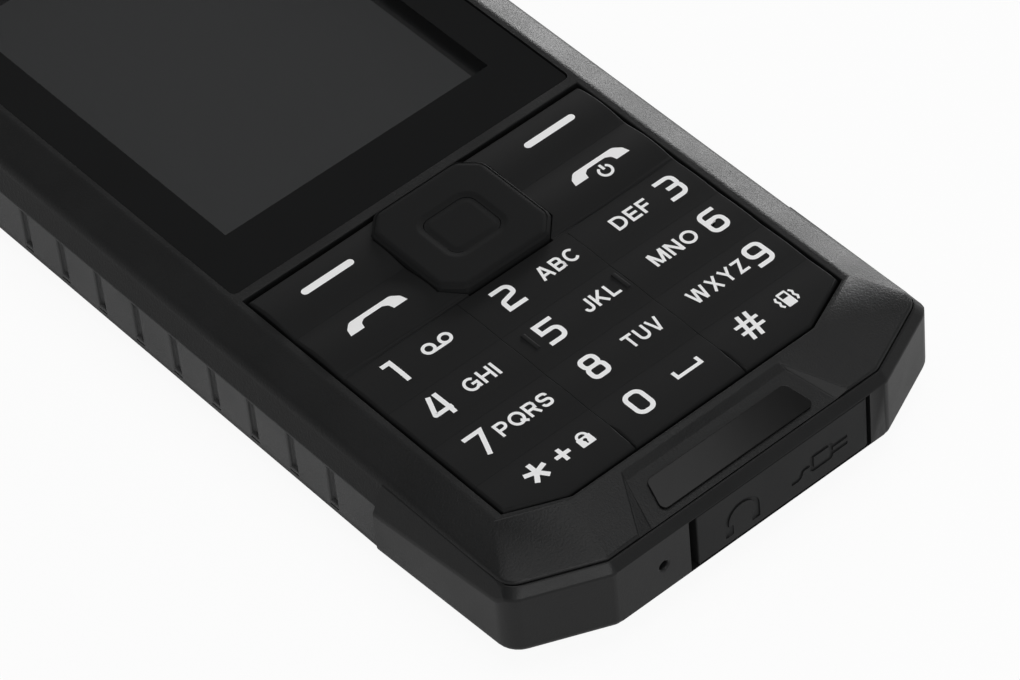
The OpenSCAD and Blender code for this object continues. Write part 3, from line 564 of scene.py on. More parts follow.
# Places on the bumper frame where its roundings change
MIC_X = -12.9
MIC_REACH = 0.65
END_WALL_Y = -66.5
BAY_HALF = (28.5, 61)
COVER_HALF = (26, 54)
DOOR_HALF = 18
DOOR_SPAN_Z = (1, 12)
GRIP_HALF = 41.5
LIP_TOP_Z = 12.5
LIP_LOW_Z = 11.4
BACK_Z = 0.3
CORNER_DEG = 20

# Tiny edges at the lip's corners are merged, and its sides stand closer to the shell
LIP_CORNER_X = 29.7
LIP_CORNER_Y = (61.3, 61.8)
LIP_MERGE = 0.12
LIP_SIDE = (29.4, 11.9)
LIP_PULL = 0.13


def frame_rounding(middle, upper, lower):
    """Roundings on the outside alone, with the door's opening and the grips' seats left sharp."""
    in_end_wall = middle.y < END_WALL_Y and min(upper.y, lower.y) < -FACING
    if in_end_wall and abs(middle.x - MIC_X) < MIC_REACH:
        return MIC_ROUND
    out = Vector((middle.x, middle.y, 0)).normalized()
    inward = any(normal.dot(out) < -BARELY and normal.z < FACING for normal in (upper, lower))
    inside = abs(middle.x) < BAY_HALF[0] and abs(middle.y) < BAY_HALF[1] and middle.z > BACK_Z
    if inward or inside or upper.angle(lower) < math.radians(CORNER_DEG):
        return 0
    if middle.z > LIP_TOP_Z:
        return LIP_TOP_ROUND
    at_end = abs(middle.y) > BAY_HALF[1]
    if at_end and abs(middle.x) < DOOR_HALF and DOOR_SPAN_Z[0] < middle.z < DOOR_SPAN_Z[1]:
        return 0
    past_grips = abs(middle.y) > GRIP_HALF
    if middle.z > LIP_LOW_Z:
        return LIP_ROUND if past_grips else 0
    if middle.z < BACK_Z:
        round_cover = abs(middle.x) > COVER_HALF[0] or abs(middle.y) > COVER_HALF[1]
        return BACK_ROUND if round_cover else 0
    if abs(upper.z) < WALL and abs(lower.z) < WALL:
        return CORNER_ROUND
    return SHOULDER_ROUND if past_grips else 0


bumper = copy_of("rear_frame", "bumper_frame")
pick(bumper, lambda at: at.z > LIP_LOW_Z and abs(at.x) > LIP_CORNER_X
     and LIP_CORNER_Y[0] < abs(at.y) < LIP_CORNER_Y[1])
bpy.ops.mesh.remove_doubles(threshold=LIP_MERGE * MM)
close_mesh()
for side in (-1, 1):
    shift(bumper, lambda at: at.x * side > LIP_SIDE[0] and at.z > LIP_SIDE[1],
          (-side * LIP_PULL * MM, 0, 0))
round_edges(bumper, frame_rounding, slide=True)
smooth(bumper)
stands_for(bumper, "rear_frame", FINISHES["frame"])


# Ledge that the grips stand on, the bar across a grip's foot, and its grooves
GRIP_SEAT = 3.8
GRIP_EDGE_Z = 4.5
BAR_H = 0.5
BAR_INSET = (0.1, 0.4)
BAR_LIFT = 0.02
GROOVE_X = 30.35
GROOVE_SINK = 0.2


def grip_rounding(middle, upper, lower):
    return GRIP_ROUND if max(abs(upper.x), abs(lower.x)) > FACING and middle.z > GRIP_EDGE_Z else 0


def close_grooves(grip, node):
    """Ends a grip's grooves at a bar across its foot."""
    low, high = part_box(node)
    bpy.ops.object.select_all(action="DESELECT")
    bpy.ops.mesh.primitive_cube_add(size=1)
    bar = bpy.context.object
    bar.scale = (high.x - low.x - BAR_INSET[0] * MM, high.y - low.y - BAR_INSET[1] * MM, BAR_H * MM)
    bar.location = (low + high) / 2
    bar.location.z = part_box("rear_frame")[0].z + (GRIP_SEAT + BAR_H / 2 + BAR_LIFT) * MM
    bpy.ops.object.transform_apply()
    finish_with(bar, "BEVEL", width=BAR_ROUND * MM, segments=3, limit_method="NONE")
    finish_with(grip, "BOOLEAN", object=bar, operation="UNION", solver="EXACT")
    bpy.data.objects.remove(bar)


for node, name, side in (("left_rail", "left_grip", -1), ("right_rail", "right_grip", 1)):
    grip = copy_of(node, name)
    foot_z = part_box(node)[0].z
    shift_side(grip, 2, foot_z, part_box("rear_frame")[0].z + GRIP_SEAT * MM - foot_z)
    shift_side(grip, 0, side * GROOVE_X * MM, -side * GROOVE_SINK * MM)
    round_edges(grip, grip_rounding, 3)
    close_grooves(grip, node)
    smooth(grip)
    stands_for(grip, node, FINISHES["rail"])


def glass_rounding(middle, upper, lower):
    return GLASS_ROUND if upper.z > FACING and abs(lower.z) < WALL else 0


glass = copy_of("display_window", "display_glass")
round_edges(glass, glass_rounding, 3)
smooth(glass)
stands_for(glass, "display_window", FINISHES["window"])


def cover_rounding(middle, upper, lower):
    return COVER_ROUND if lower.z < -FACING and abs(upper.z) < WALL else 0


cover = copy_of("battery_cover", "back_cover")
round_edges(cover, cover_rounding)
smooth(cover)
stands_for(cover, "battery_cover", FINISHES["frame"])


# Lines of a width, drawn flat in millimetres

# Sharp turns of a line are drawn no longer than this share allows
TURN_SHARE = 0.3


def turned(corners, closed=False, steps=6):
    """A path through corners (x, y, radius), each turned on an arc of its radius."""
    path = []
    count = len(corners)
    for i, (x, y, radius) in enumerate(corners):
        corner = Vector((x, y))
        if radius == 0 or (not closed and i in (0, count - 1)):
            path.append(corner)
            continue
        back = (Vector(corners[i - 1][:2]) - corner).normalized()
        ahead = (Vector(corners[(i + 1) % count][:2]) - corner).normalized()
        half = back.angle(ahead) / 2
        centre = corner + (back + ahead).normalized() * radius / math.sin(half)
        start = corner + back * radius / math.tan(half) - centre
        end = corner + ahead * radius / math.tan(half) - centre
        path += [centre + start.slerp(end, step / steps) * radius for step in range(steps + 1)]
    return path


def arc(x, y, radius, start, end, steps=24):
    """A path on a circle between two angles in degrees."""
    angles = [math.radians(start + (end - start) * step / steps) for step in range(steps + 1)]
    return [Vector((x + radius * math.cos(a), y + radius * math.sin(a))) for a in angles]


def line(path, width, closed=False):
    """The outline of a line of that width along a path."""
    count = len(path)
    left, right = [], []
    for i, point in enumerate(path):
        inner = closed or 0 < i < count - 1
        after = path[(i + 1) % count] if inner or i == 0 else point
        before = path[i - 1] if inner or i > 0 else point
        leaving = (after - point if after != point else point - before).normalized()
        coming = (point - before if before != point else after - point).normalized()
        along = (leaving + coming).normalized()
        across = Vector((-along.y, along.x)) * width / 2 / max(TURN_SHARE, along.dot(coming))
        left.append(point + across)
        right.append(point - across)
    return [left, right] if closed else [left + right[::-1]]


def stroke(start, end, width):
    """The outline of a straight line."""
    return line([Vector(start), Vector(end)], width)


def filled(loops, thick=0.0):
    """A flat mesh, or a plate of that thickness, inside closed loops."""
    curve = bpy.data.curves.new("outline", "CURVE")
    curve.dimensions = "2D"
    curve.fill_mode = "BOTH"
    curve.extrude = thick / 2
    for loop in loops:
        spline = curve.splines.new("POLY")
        spline.points.add(len(loop) - 1)
        places = [value for point in loop for value in (point.x, point.y, 0, 1)]
        spline.points.foreach_set("co", places)
        spline.use_cyclic_u = True
    obj = bpy.data.objects.new("outline", curve)
    scene.collection.objects.link(obj)
    only(obj)
    bpy.ops.object.convert(target="MESH")
    return bpy.context.object


# Door over the sockets, with its two signs sunk into it

# Headphones of a band and two ears, and a plug of a cord, a body and two pins
SIGN_DEPTH = 0.17
SIGN_LINE = 0.52
EAR_LINE = 1.0
BAND = [(-3.95, 5.0, 0), (-3.95, 9.1, 2.2), (0.5, 9.1, 2.2), (0.5, 5.0, 0)]
CORD = [(5.4, 6.2, 0), (6.6, 6.2, 0.5), (7.0, 7.25, 0.5), (8.4, 7.25, 0)]
BODY = [(8.4, 6.2, 0.3), (11.2, 6.2, 0.3), (11.2, 8.3, 0.3), (8.4, 8.3, 0.3)]
DOOR_SIGNS = [
    line(turned(BAND, steps=12), SIGN_LINE),
    stroke((-3.55, 5.0), (-3.55, 6.5), EAR_LINE),
    stroke((0.1, 5.0), (0.1, 6.5), EAR_LINE),
    line(turned(CORD), SIGN_LINE),
    line(turned(BODY, True), SIGN_LINE, True),
    stroke((11.3, 6.75), (13.6, 6.75), SIGN_LINE),
    stroke((11.3, 7.75), (13.6, 7.75), SIGN_LINE),
]

# The door's right-hand end reaches this much further
DOOR_REACH = 0.1


def door_rounding(middle, upper, lower):
    return DOOR_ROUND if min(upper.y, lower.y) < -FACING else 0


door = copy_of("port_door", "socket_door")
shift_side(door, 0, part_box("port_door")[1].x, DOOR_REACH * MM)
round_edges(door, door_rounding)
for loops in DOOR_SIGNS:
    sign = filled(loops, 2 * SIGN_DEPTH)
    sign.rotation_euler.x = math.radians(90)
    sign.scale = (MM, MM, MM)
    sign.location.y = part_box("port_door")[0].y
    bpy.ops.object.transform_apply()
    open_mesh(sign)
    bpy.ops.mesh.remove_doubles(threshold=MERGE * MM)
    bpy.ops.mesh.normals_make_consistent(inside=False)
    close_mesh()
    finish_with(sign, "BEVEL", width=SIGN_ROUND * MM, segments=3, limit_method="ANGLE",
                use_clamp_overlap=True)
    finish_with(door, "BOOLEAN", object=sign, operation="DIFFERENCE", solver="EXACT")
    bpy.data.objects.remove(sign)
smooth(door)
stands_for(door, "port_door", FINISHES["door"])


# Keypad

UPPER_KEYS = ["soft_key_left", "soft_key_right", "call_key", "end_key"]
KEY_NODES = ["key_" + sign for sign in (*"123456789", "star", "0", "hash")] + UPPER_KEYS
keypad_low = min(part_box(node)[0].y for node in KEY_NODES)
keypad_high = max(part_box(node)[1].y for node in KEY_NODES)
keypad_half = max(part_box(node)[1].x for node in KEY_NODES)
column_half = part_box("key_2")[1].x / MM

# Places on the keypad where the roundings of its keys change
CROWN = 0.6
LOW_ROW = 3.2
HIGH_EDGE = 0.2
PAST_COLUMN = 1.0

# A side this close to the keypad's edge is an outer one, and a key's face lies within this depth
OUTER_REACH = 0.5
FACE_DEPTH = 1.0

# Smooth shading of the keys, and of the rocker with its centre key, in degrees
CAP_DEG = 40
NAV_DEG = 50


def row_middle(node):
    low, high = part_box(node)
    return (low.y + high.y) / 2 / MM


def cap_rounding(middle, upper, lower):
    """Fine edges between columns, none between rows, and soft ones at the keypad's ends."""
    if upper.z < CROWN or abs(lower.z) > WALL:
        return 0
    at_end = middle.y < keypad_low / MM + LOW_ROW or middle.y > keypad_high / MM - HIGH_EDGE
    if abs(lower.y) > FACING and not at_end:
        return 0
    if abs(middle.x) < column_half + PAST_COLUMN and not at_end:
        return COLUMN_ROUND
    return RIGHT_END_ROUND if lower.x > FACING else END_ROUND


def soften_valleys(cap, sides):
    """Levels a key's crowned face out into the valleys at these sides."""
    heights = [vertex.co.z for vertex in cap.data.vertices]
    foot = max(heights) - FACE_DEPTH * MM
    lowest = min(height for height in heights if height > foot)
    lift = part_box("front_housing")[1].z + VALLEY_RISE * MM - lowest
    open_mesh(cap)
    for side, inward in sides:
        for fold in VALLEY_FOLDS:
            bpy.ops.mesh.select_all(action="SELECT")
            bpy.ops.mesh.bisect(plane_co=(0, side + inward * fold * MM, 0), plane_no=(0, 1, 0))
    close_mesh()
    for side, inward in sides:
        shift(cap, lambda at: at.z * MM > foot and abs(at.y * MM - side) < NEAR * MM, (0, 0, lift),
              use_proportional_edit=True, proportional_edit_falloff="SHARP",
              proportional_size=VALLEY_REACH * MM)


def key_cap(node):
    """A key drawn up to its neighbours, with its face rolled into the valleys between rows."""
    cap = copy_of(node, node + "_cap")
    low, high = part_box(node)
    valleys = []
    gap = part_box("key_3")[0].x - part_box("key_2")[1].x
    grow = (gap - KEY_SLIT * MM) / 2
    for axis, edges in ((0, (-keypad_half, keypad_half)), (1, (keypad_low, keypad_high))):
        if axis == 0 and node in UPPER_KEYS:
            continue
        for place, edge, outward in ((low[axis], edges[0], -1), (high[axis], edges[1], 1)):
            if (edge - place) * outward > OUTER_REACH * MM:
                shift_side(cap, axis, place, outward * grow)
                if axis == 1:
                    valleys.append((place + outward * grow, -outward))
    soften_valleys(cap, valleys)
    round_edges(cap, cap_rounding, 4)
    smooth(cap, CAP_DEG, ALIKE)
    stands_for(cap, node, FINISHES["keys"])
    return cap


caps = {node: key_cap(node) for node in KEY_NODES}


# Rocker and centre key: the middle, half sizes, and the gap beside the middle of the hole's sides
HOLE_SIDE = 2.0
rocker_y = row_middle("nav_ring")
rocker_half, centre_half = [(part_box(node)[1].x / MM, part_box(node)[1].y / MM - rocker_y)
                            for node in ("nav_ring", "ok_key")]
centre_gap = min(abs(vertex.co.x) for vertex in nodes["nav_ring"].data.vertices
                 if abs(vertex.co.y - rocker_y * MM) < HOLE_SIDE * MM) / MM - centre_half[0]

# The rocker's hole lies within HOLE_REACH of the middle and its outer edge beyond RIM_REACH;
# the centre key's head starts at HEAD_Z and its top lies above TOP_Z
HOLE_REACH = 4.5
RIM_REACH = 5.0
HEAD_Z = 13.0
TOP_Z = 15.0


def from_middle(at):
    """How far a place lies from the rocker's middle, along x or along y."""
    return max(abs(at.x), abs(at.y - rocker_y))


def rocker_rounding(middle, upper, lower):
    return ROCKER_ROUND if upper.z >= LEANING and from_middle(middle) > HOLE_REACH else 0


def widen(obj, chosen, half, grow):
    """Draws the chosen part of a piece out sideways about the rocker's middle."""
    pick(obj, chosen)
    bpy.ops.transform.resize(value=(1 + grow / half[0], 1 + grow / half[1], 1),
                             center_override=(0, rocker_y * MM, 0))
    close_mesh()


def soften_border(obj, reach, drop):
    """Rolls the flat top of a piece down into the valley round the centre key."""
    top = max(vertex.co.z for vertex in obj.data.vertices) - TOUCH * MM
    edge = [vertex.co.copy() for vertex in obj.data.vertices
            if vertex.co.z > top and from_middle(vertex.co / MM) < reach]
    open_mesh(obj)
    bpy.ops.mesh.select_all(action="DESELECT")
    bpy.ops.mesh.select_mode(type="FACE")
    close_mesh()
    for face in obj.data.polygons:
        face.select = face.normal.z > LEVEL and face.center.z > top
    bpy.ops.object.mode_set(mode="EDIT")
    for loop in range(CENTRE_LOOPS):
        bpy.ops.mesh.inset(thickness=CENTRE_VALLEY / CENTRE_LOOPS * MM)
    bpy.ops.mesh.select_mode(type="VERT")
    close_mesh()
    shift(obj, lambda at: any((at * MM - place).length < TOUCH * MM for place in edge),
          (0, 0, -drop * MM), use_proportional_edit=True, proportional_edit_falloff="SMOOTH",
          proportional_size=CENTRE_VALLEY * MM)


rocker = copy_of("nav_ring", "rocker_cap")
widen(rocker, lambda at: from_middle(at) > RIM_REACH, rocker_half, ROCKER_GROW)
shift(rocker, lambda at: at.y - rocker_y > RIM_REACH, (0, ROCKER_UP * MM, 0))
round_edges(rocker, rocker_rounding)
soften_border(rocker, HOLE_REACH, ROCKER_DROP)
smooth(rocker, NAV_DEG, ALIKE)
stands_for(rocker, "nav_ring", FINISHES["nav"])

centre = copy_of("ok_key", "centre_cap")
widen(centre, lambda at: at.z > HEAD_Z, centre_half, centre_gap - CENTRE_SLIT)
shift(centre, lambda at: at.z > TOP_Z, (0, 0, CENTRE_LIFT * MM))
soften_border(centre, RIM_REACH, CENTRE_DROP)
smooth(centre, NAV_DEG, ALIKE)
stands_for(centre, "ok_key", FINISHES["nav"])


# Legends printed on the key faces

# Digits, each of closed and open lines through corners (x, y, radius)
LEFT = DIGIT_STROKE / 2
RIGHT = DIGIT_W - LEFT
TOP = DIGIT_H - LEFT
WAIST = 2.1
BEND = 0.7
SIX = [(True, [(LEFT, LEFT, BEND), (RIGHT, LEFT, BEND), (RIGHT, WAIST, BEND), (LEFT, WAIST, 0.1)]),
       (False, [(DIGIT_W - 0.1, TOP, 0), (LEFT, TOP, BEND), (LEFT, 1.5, 0)])]
DIGITS = {
    "0": [(True, [(LEFT, LEFT, 0.8), (RIGHT, LEFT, 0.8), (RIGHT, TOP, 0.8), (LEFT, TOP, 0.8)])],
    "1": [(False, [(0.6, TOP, 0), (1.76, TOP, 0), (1.76, 0, 0)])],
    "2": [(False, [(0, TOP, 0), (RIGHT, TOP, BEND), (RIGHT, 2.1, 0.45), (LEFT, 1.6, 0.45),
                   (LEFT, LEFT, 0), (DIGIT_W, LEFT, 0)])],
    "3": [(False, [(0, TOP, 0), (RIGHT, TOP, BEND), (RIGHT, 1.9, 0.4), (0.7, 1.9, 0)]),
          (False, [(0.7, 1.9, 0), (RIGHT, 1.9, 0.4), (RIGHT, LEFT, BEND), (0, LEFT, 0)])],
    "4": [(False, [(1.45, DIGIT_H, 0), (0.3, 1.0, 0.1), (DIGIT_W, 1.0, 0)]),
          (False, [(2.25, DIGIT_H, 0), (2.25, 0, 0)])],
    "5": [(False, [(DIGIT_W, TOP, 0), (LEFT, TOP, 0), (LEFT, WAIST, 0), (RIGHT, WAIST, BEND),
                   (RIGHT, LEFT, BEND), (0, LEFT, 0)])],
    "6": SIX,
    "7": [(False, [(0, TOP, 0), (RIGHT, TOP, 0), (0.95, 0, 0)])],
    "8": [(True, [(0.4, 1.95, 0.6), (2.25, 1.95, 0.6), (2.25, TOP, 0.6), (0.4, TOP, 0.6)]),
          (True, [(LEFT, LEFT, 0.6), (RIGHT, LEFT, 0.6), (RIGHT, 1.95, 0.6), (LEFT, 1.95, 0.6)])],
    "9": [(closed, [(DIGIT_W - x, DIGIT_H - y, radius) for x, y, radius in corners])
          for closed, corners in SIX],
}
PEN = LETTER_STROKE / 2
CAP = LETTER_H - PEN
MID = LETTER_H / 2


def oval(width, start, end, steps=28):
    """A path on an upright oval of a letter's size, between two angles."""
    return [Vector((width / 2 + point.x * (width / 2 - PEN), MID + point.y * (MID - PEN)))
            for point in arc(0, 0, 1, start, end, steps)]


# Width, closed paths and open paths of each letter
LETTERS = {
    "A": (1.95, [], [[(0.2, 0, 0), (0.9, LETTER_H, 0)], [(1.75, 0, 0), (1.05, LETTER_H, 0)],
                     [(0.45, 0.68, 0), (1.5, 0.68, 0)]]),
    "B": (1.6, [[(PEN, PEN, 0), (1.41, PEN, 0.5), (1.41, MID, 0.45), (PEN, MID, 0)],
                [(PEN, MID, 0), (1.33, MID, 0.4), (1.33, CAP, 0.4), (PEN, CAP, 0)]], []),
    "C": (1.85, [], [oval(1.85, 42, 318)]),
    "D": (1.75, [[(PEN, PEN, 0), (1.56, PEN, 0.8), (1.56, CAP, 0.8), (PEN, CAP, 0)]], []),
    "E": (1.45, [], [[(1.45, PEN, 0), (PEN, PEN, 0), (PEN, CAP, 0), (1.42, CAP, 0)],
                     [(PEN, MID, 0), (1.32, MID, 0)]]),
    "F": (1.4, [], [[(PEN, 0, 0), (PEN, CAP, 0), (1.4, CAP, 0)], [(PEN, MID, 0), (1.25, MID, 0)]]),
    "G": (1.95, [], [oval(1.95, 42, 325), [(1.76, 0.1, 0), (1.76, 1.02, 0), (1.05, 1.02, 0)]]),
    "H": (1.75, [], [[(PEN, 0, 0), (PEN, LETTER_H, 0)], [(1.56, 0, 0), (1.56, LETTER_H, 0)],
                     [(PEN, MID, 0), (1.56, MID, 0)]]),
    "I": (0.38, [], [[(0.19, 0, 0), (0.19, LETTER_H, 0)]]),
    "J": (1.3, [], [[(1.11, LETTER_H, 0), (1.11, PEN, 0.45), (PEN, PEN, 0.45), (PEN, 0.75, 0)]]),
    "K": (1.8, [], [[(PEN, 0, 0), (PEN, LETTER_H, 0)], [(0.3, 0.75, 0), (1.5, LETTER_H, 0)],
                    [(0.75, 1.2, 0), (1.6, 0, 0)]]),
    "L": (1.35, [], [[(PEN, LETTER_H, 0), (PEN, PEN, 0), (1.35, PEN, 0)]]),
    "M": (2.15, [], [[(PEN, 0, 0), (PEN, LETTER_H, 0)], [(1.96, 0, 0), (1.96, LETTER_H, 0)],
                     [(0.25, LETTER_H, 0), (1.0, 0.1, 0)], [(1.9, LETTER_H, 0), (1.15, 0.1, 0)]]),
    "N": (1.75, [], [[(PEN, 0, 0), (PEN, LETTER_H, 0)], [(1.56, 0, 0), (1.56, LETTER_H, 0)],
                     [(0.25, LETTER_H - 0.05, 0), (1.5, 0.05, 0)]]),
    "O": (2.05, [oval(2.05, 0, 350)], []),
    "P": (1.6, [[(PEN, 0.95, 0), (1.41, 0.95, 0.48), (1.41, CAP, 0.48), (PEN, CAP, 0)]],
          [[(PEN, 0, 0), (PEN, 1.2, 0)]]),
    "Q": (2.05, [oval(2.05, 0, 350)], [[(1.2, 0.65, 0), (1.95, -0.02, 0)]]),
    "R": (1.7, [[(PEN, 0.98, 0), (1.45, 0.98, 0.48), (1.45, CAP, 0.48), (PEN, CAP, 0)]],
          [[(PEN, 0, 0), (PEN, 1.2, 0)], [(0.95, 0.98, 0), (1.5, 0, 0)]]),
    "S": (1.6, [], [[(1.4, 1.5, 0), (1.4, CAP, 0.42), (PEN, CAP, 0.42), (PEN, 1.12, 0.4),
                     (1.42, 0.98, 0.4), (1.42, PEN, 0.42), (PEN, PEN, 0.42), (PEN, 0.62, 0)]]),
    "T": (1.65, [], [[(0, CAP, 0), (1.65, CAP, 0)], [(0.825, 0, 0), (0.825, CAP, 0)]]),
    "U": (1.7, [], [[(PEN, LETTER_H, 0), (PEN, PEN, 0.6), (1.51, PEN, 0.6), (1.51, LETTER_H, 0)]]),
    "V": (1.9, [], [[(0.2, LETTER_H, 0), (0.9, 0, 0)], [(1.7, LETTER_H, 0), (1.0, 0, 0)]]),
    "W": (2.75, [], [[(0.2, LETTER_H, 0), (0.72, 0, 0)], [(1.32, LETTER_H, 0), (0.78, 0, 0)],
                     [(1.43, LETTER_H, 0), (1.97, 0, 0)], [(2.55, LETTER_H, 0), (2.03, 0, 0)]]),
    "X": (1.85, [], [[(0.25, 0, 0), (1.6, LETTER_H, 0)], [(0.25, LETTER_H, 0), (1.6, 0, 0)]]),
    "Y": (1.85, [], [[(0.22, LETTER_H, 0), (0.92, 0.95, 0)], [(1.63, LETTER_H, 0), (0.93, 0.95, 0)],
                     [(0.925, 0, 0), (0.925, 1.05, 0)]]),
    "Z": (1.65, [], [[(0.05, CAP, 0), (1.35, CAP, 0), (0.3, PEN, 0), (1.65, PEN, 0)]]),
}


def spell(text, low_x, high_x, y):
    """The lines of a word of capitals that fills the room between two places."""
    if not text:
        return []
    width = sum(LETTERS[letter][0] for letter in text) + LETTER_GAP * (len(text) - 1)
    stretch = (high_x - low_x) / width
    groups = []
    x = 0.0
    for letter in text:
        letter_w, rings, lines = LETTERS[letter]
        for closed, paths in ((True, rings), (False, lines)):
            for path in paths:
                if isinstance(path[0], tuple):
                    path = turned(path, closed)
                loops = line(path, LETTER_STROKE, closed)
                groups.append([[Vector((low_x + (x + point.x) * stretch, y - MID + point.y))
                                for point in loop] for loop in loops])
        x += letter_w + LETTER_GAP
    return groups


# Digit, its middle, letters and where they start and end, for each number key
NUMBERS = {
    "key_1": ("1", -19.3, "", 0, 0),
    "key_2": ("2", -3.2, "ABC", 1.15, 6.7),
    "key_3": ("3", 20.75, "DEF", 12.15, 17.4),
    "key_4": ("4", -19.3, "GHI", -15.5, -11.0),
    "key_5": ("5", -3.27, "JKL", 1.45, 6.25),
    "key_6": ("6", 20.6, "MNO", 11.45, 17.9),
    "key_7": ("7", -19.3, "PQRS", -17.1, -9.7),
    "key_8": ("8", -3.37, "TUV", 1.2, 6.25),
    "key_9": ("9", 20.6, "WXYZ", 10.6, 18.6),
    "key_0": ("0", -3.37, "", 0, 0),
}

# How far the legends sit above the middle of their row
LEGEND_RISE = 0.65
FIRST_RISE = 0.5
LAST_RISE = 0.85
SOFT_RISE = 0.42
REEL_RISE = 0.65

# Strokes of the signs
REEL_LINE = 0.4
STAR_LINE = 0.6
PLUS_LINE = 0.52
LOCK_LINE = 0.32
SPACE_LINE = 0.45
HASH_LINES = (0.5, 0.45)
WAVE_LINE = 0.28
POWER_LINE = 0.34
DASH_SIZE = (7.3, 1.0)


def moved(loops, x, y):
    return [[point + Vector((x, y)) for point in loop] for loop in loops]


def dash(x, y, length, width):
    """A bar with round ends."""
    radius = width / 2
    side = length / 2 - radius
    return [arc(x + side, y, radius, -90, 90, 10) + arc(x - side, y, radius, 90, 270, 10)]


def card(half, low, high, radius):
    """An upright rectangle with turned corners."""
    return turned([(-half, low, radius), (half, low, radius),
                   (half, high, radius), (-half, high, radius)], True)


def handset(x, y):
    """A resting handset, flat on top, with its two feet down."""
    over = [(4.0, 0, 0), (3.75, 1.0, 0.6), (2.9, 1.85, 0.8),
            (-2.9, 1.85, 0.8), (-3.75, 1.0, 0.6), (-4.0, 0, 0)]
    under = [(-2.1, 0, 0), (-1.9, 0.75, 0.5), (-1.3, 1.15, 0.3),
             (1.3, 1.15, 0.3), (1.9, 0.75, 0.5), (2.1, 0, 0)]
    return moved([turned(over + under, True)], x, y)


def reels(x, y):
    """Two tape reels on one line, for messages."""
    radius = 0.68
    rings = [line(arc(x + side, y, radius, 0, 345), REEL_LINE, True) for side in (-1.15, 1.15)]
    return rings + [stroke((x - 1.2, y - radius), (x + 1.2, y - radius), REEL_LINE)]


def star(x, y):
    return [stroke((x, y), (x + 1.5 * math.cos(a), y + 1.5 * math.sin(a)), STAR_LINE)
            for a in (math.radians(90 + 72 * arm) for arm in range(5))]


def padlock(x, y):
    body = card(0.92, -1.05, 0.3, 0.1)
    keyhole = arc(0, -0.2, 0.24, -60, 240) + [Vector((-0.1, -0.78)), Vector((0.1, -0.78))]
    shackle = line(arc(x, y + 0.3, 0.6, 0, 180), LOCK_LINE)
    return [moved([body, keyhole], x, y), shackle]


def hash_sign(x, y):
    uprights = [stroke((x + side - 0.35, y - 1.95), (x + side + 0.35, y + 1.95), HASH_LINES[0])
                for side in (-0.55, 0.55)]
    bars = [stroke((x - 1.6, y + rise), (x + 1.6, y + rise), HASH_LINES[1]) for rise in (-0.6, 0.6)]
    return uprights + bars


def shaking_phone(x, y):
    body = card(0.62, -1.2, 1.2, 0.1)
    screen = card(0.4, 0.15, 0.9, 0)
    zigzag = [(0.95, -0.9), (1.2, -0.45), (1.0, 0), (1.2, 0.45), (0.95, 0.9)]
    waves = [line([Vector((x + side * out, y + up)) for out, up in zigzag], WAVE_LINE)
             for side in (-1, 1)]
    return [moved([body, screen], x, y)] + waves


def power_mark(x, y):
    return [line(arc(x, y, 0.8, 125, 415), POWER_LINE),
            stroke((x, y + 0.2), (x, y + 1.15), POWER_LINE)]


last = row_middle("key_0") + LAST_RISE
call = row_middle("call_key")
soft = row_middle("soft_key_left") + SOFT_RISE
plus = [stroke((-15.25, last), (-13.25, last), PLUS_LINE),
        stroke((-14.25, last - 1), (-14.25, last + 1), PLUS_LINE)]
space = [Vector((x, last + rise))
         for x, rise in ((1.95, 0.65), (1.95, -0.35), (5.25, -0.35), (5.25, 0.65))]
SIGNS = {
    "key_1": reels(-13.3, row_middle("key_1") + REEL_RISE),
    "key_star": star(-17.9, last) + plus + padlock(-11.15, last + 0.1),
    "key_0": [line(space, SPACE_LINE)],
    "key_hash": hash_sign(12.65, last) + shaking_phone(18.2, last + 0.1),
    "soft_key_left": [dash(-15.55, soft, *DASH_SIZE)],
    "soft_key_right": [dash(16.83, soft, *DASH_SIZE)],
    "call_key": [handset(-15.45, call - 0.02)],
    "end_key": [handset(17.14, call + 0.1)] + power_mark(17.16, call - 0.35),
}


def lay_ink(shapes, node, layer):
    """One layer of a legend, folded over the key's face as a thin coat."""
    ink = joined([filled(loops) for loops in shapes], "ink")
    low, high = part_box(node)
    open_mesh(ink)
    for fold in range(1, int((high.y - low.y) / MM / INK_FOLD)):
        bpy.ops.mesh.select_all(action="SELECT")
        bpy.ops.mesh.bisect(plane_co=(0, low.y / MM + fold * INK_FOLD, 0), plane_no=(0, 1, 0))
    close_mesh()
    ink.scale = (MM, MM, MM)
    ink.location.z = high.z + INK_START * MM
    only(ink)
    bpy.ops.object.transform_apply()
    finish_with(ink, "SHRINKWRAP", target=caps[node], wrap_method="PROJECT", use_project_z=True,
                use_positive_direction=False, use_negative_direction=True,
                offset=(INK_LIFT + layer * INK_LAYER) * MM)
    finish_with(ink, "SOLIDIFY", thickness=INK_COAT * MM, offset=-1)
    return ink


def print_legend(node):
    """The legend of a key: its digit, letters and signs."""
    shapes = list(SIGNS.get(node, []))
    if node in NUMBERS:
        digit, digit_x, letters, low_x, high_x = NUMBERS[node]
        rise = FIRST_RISE if digit in "123" else LAST_RISE if digit == "0" else LEGEND_RISE
        y = row_middle(node) + rise
        for closed, corners in DIGITS[digit]:
            loops = line(turned(corners, closed), DIGIT_STROKE, closed)
            shapes.append(moved(loops, digit_x - DIGIT_W / 2, y - DIGIT_H / 2))
        shapes += spell(letters, low_x, high_x, y)
    layers = [(layer, shapes[layer::INK_LAYERS]) for layer in range(min(INK_LAYERS, len(shapes)))]
    legend = joined([lay_ink(group, node, layer) for layer, group in layers], node + "_legend")
    legend.data.materials.append(FINISHES["ink"])
    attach(legend, nodes[node]["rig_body"])


for node in KEY_NODES:
    print_legend(node)


# Two low ridges on the middle key, for the fingertip to find

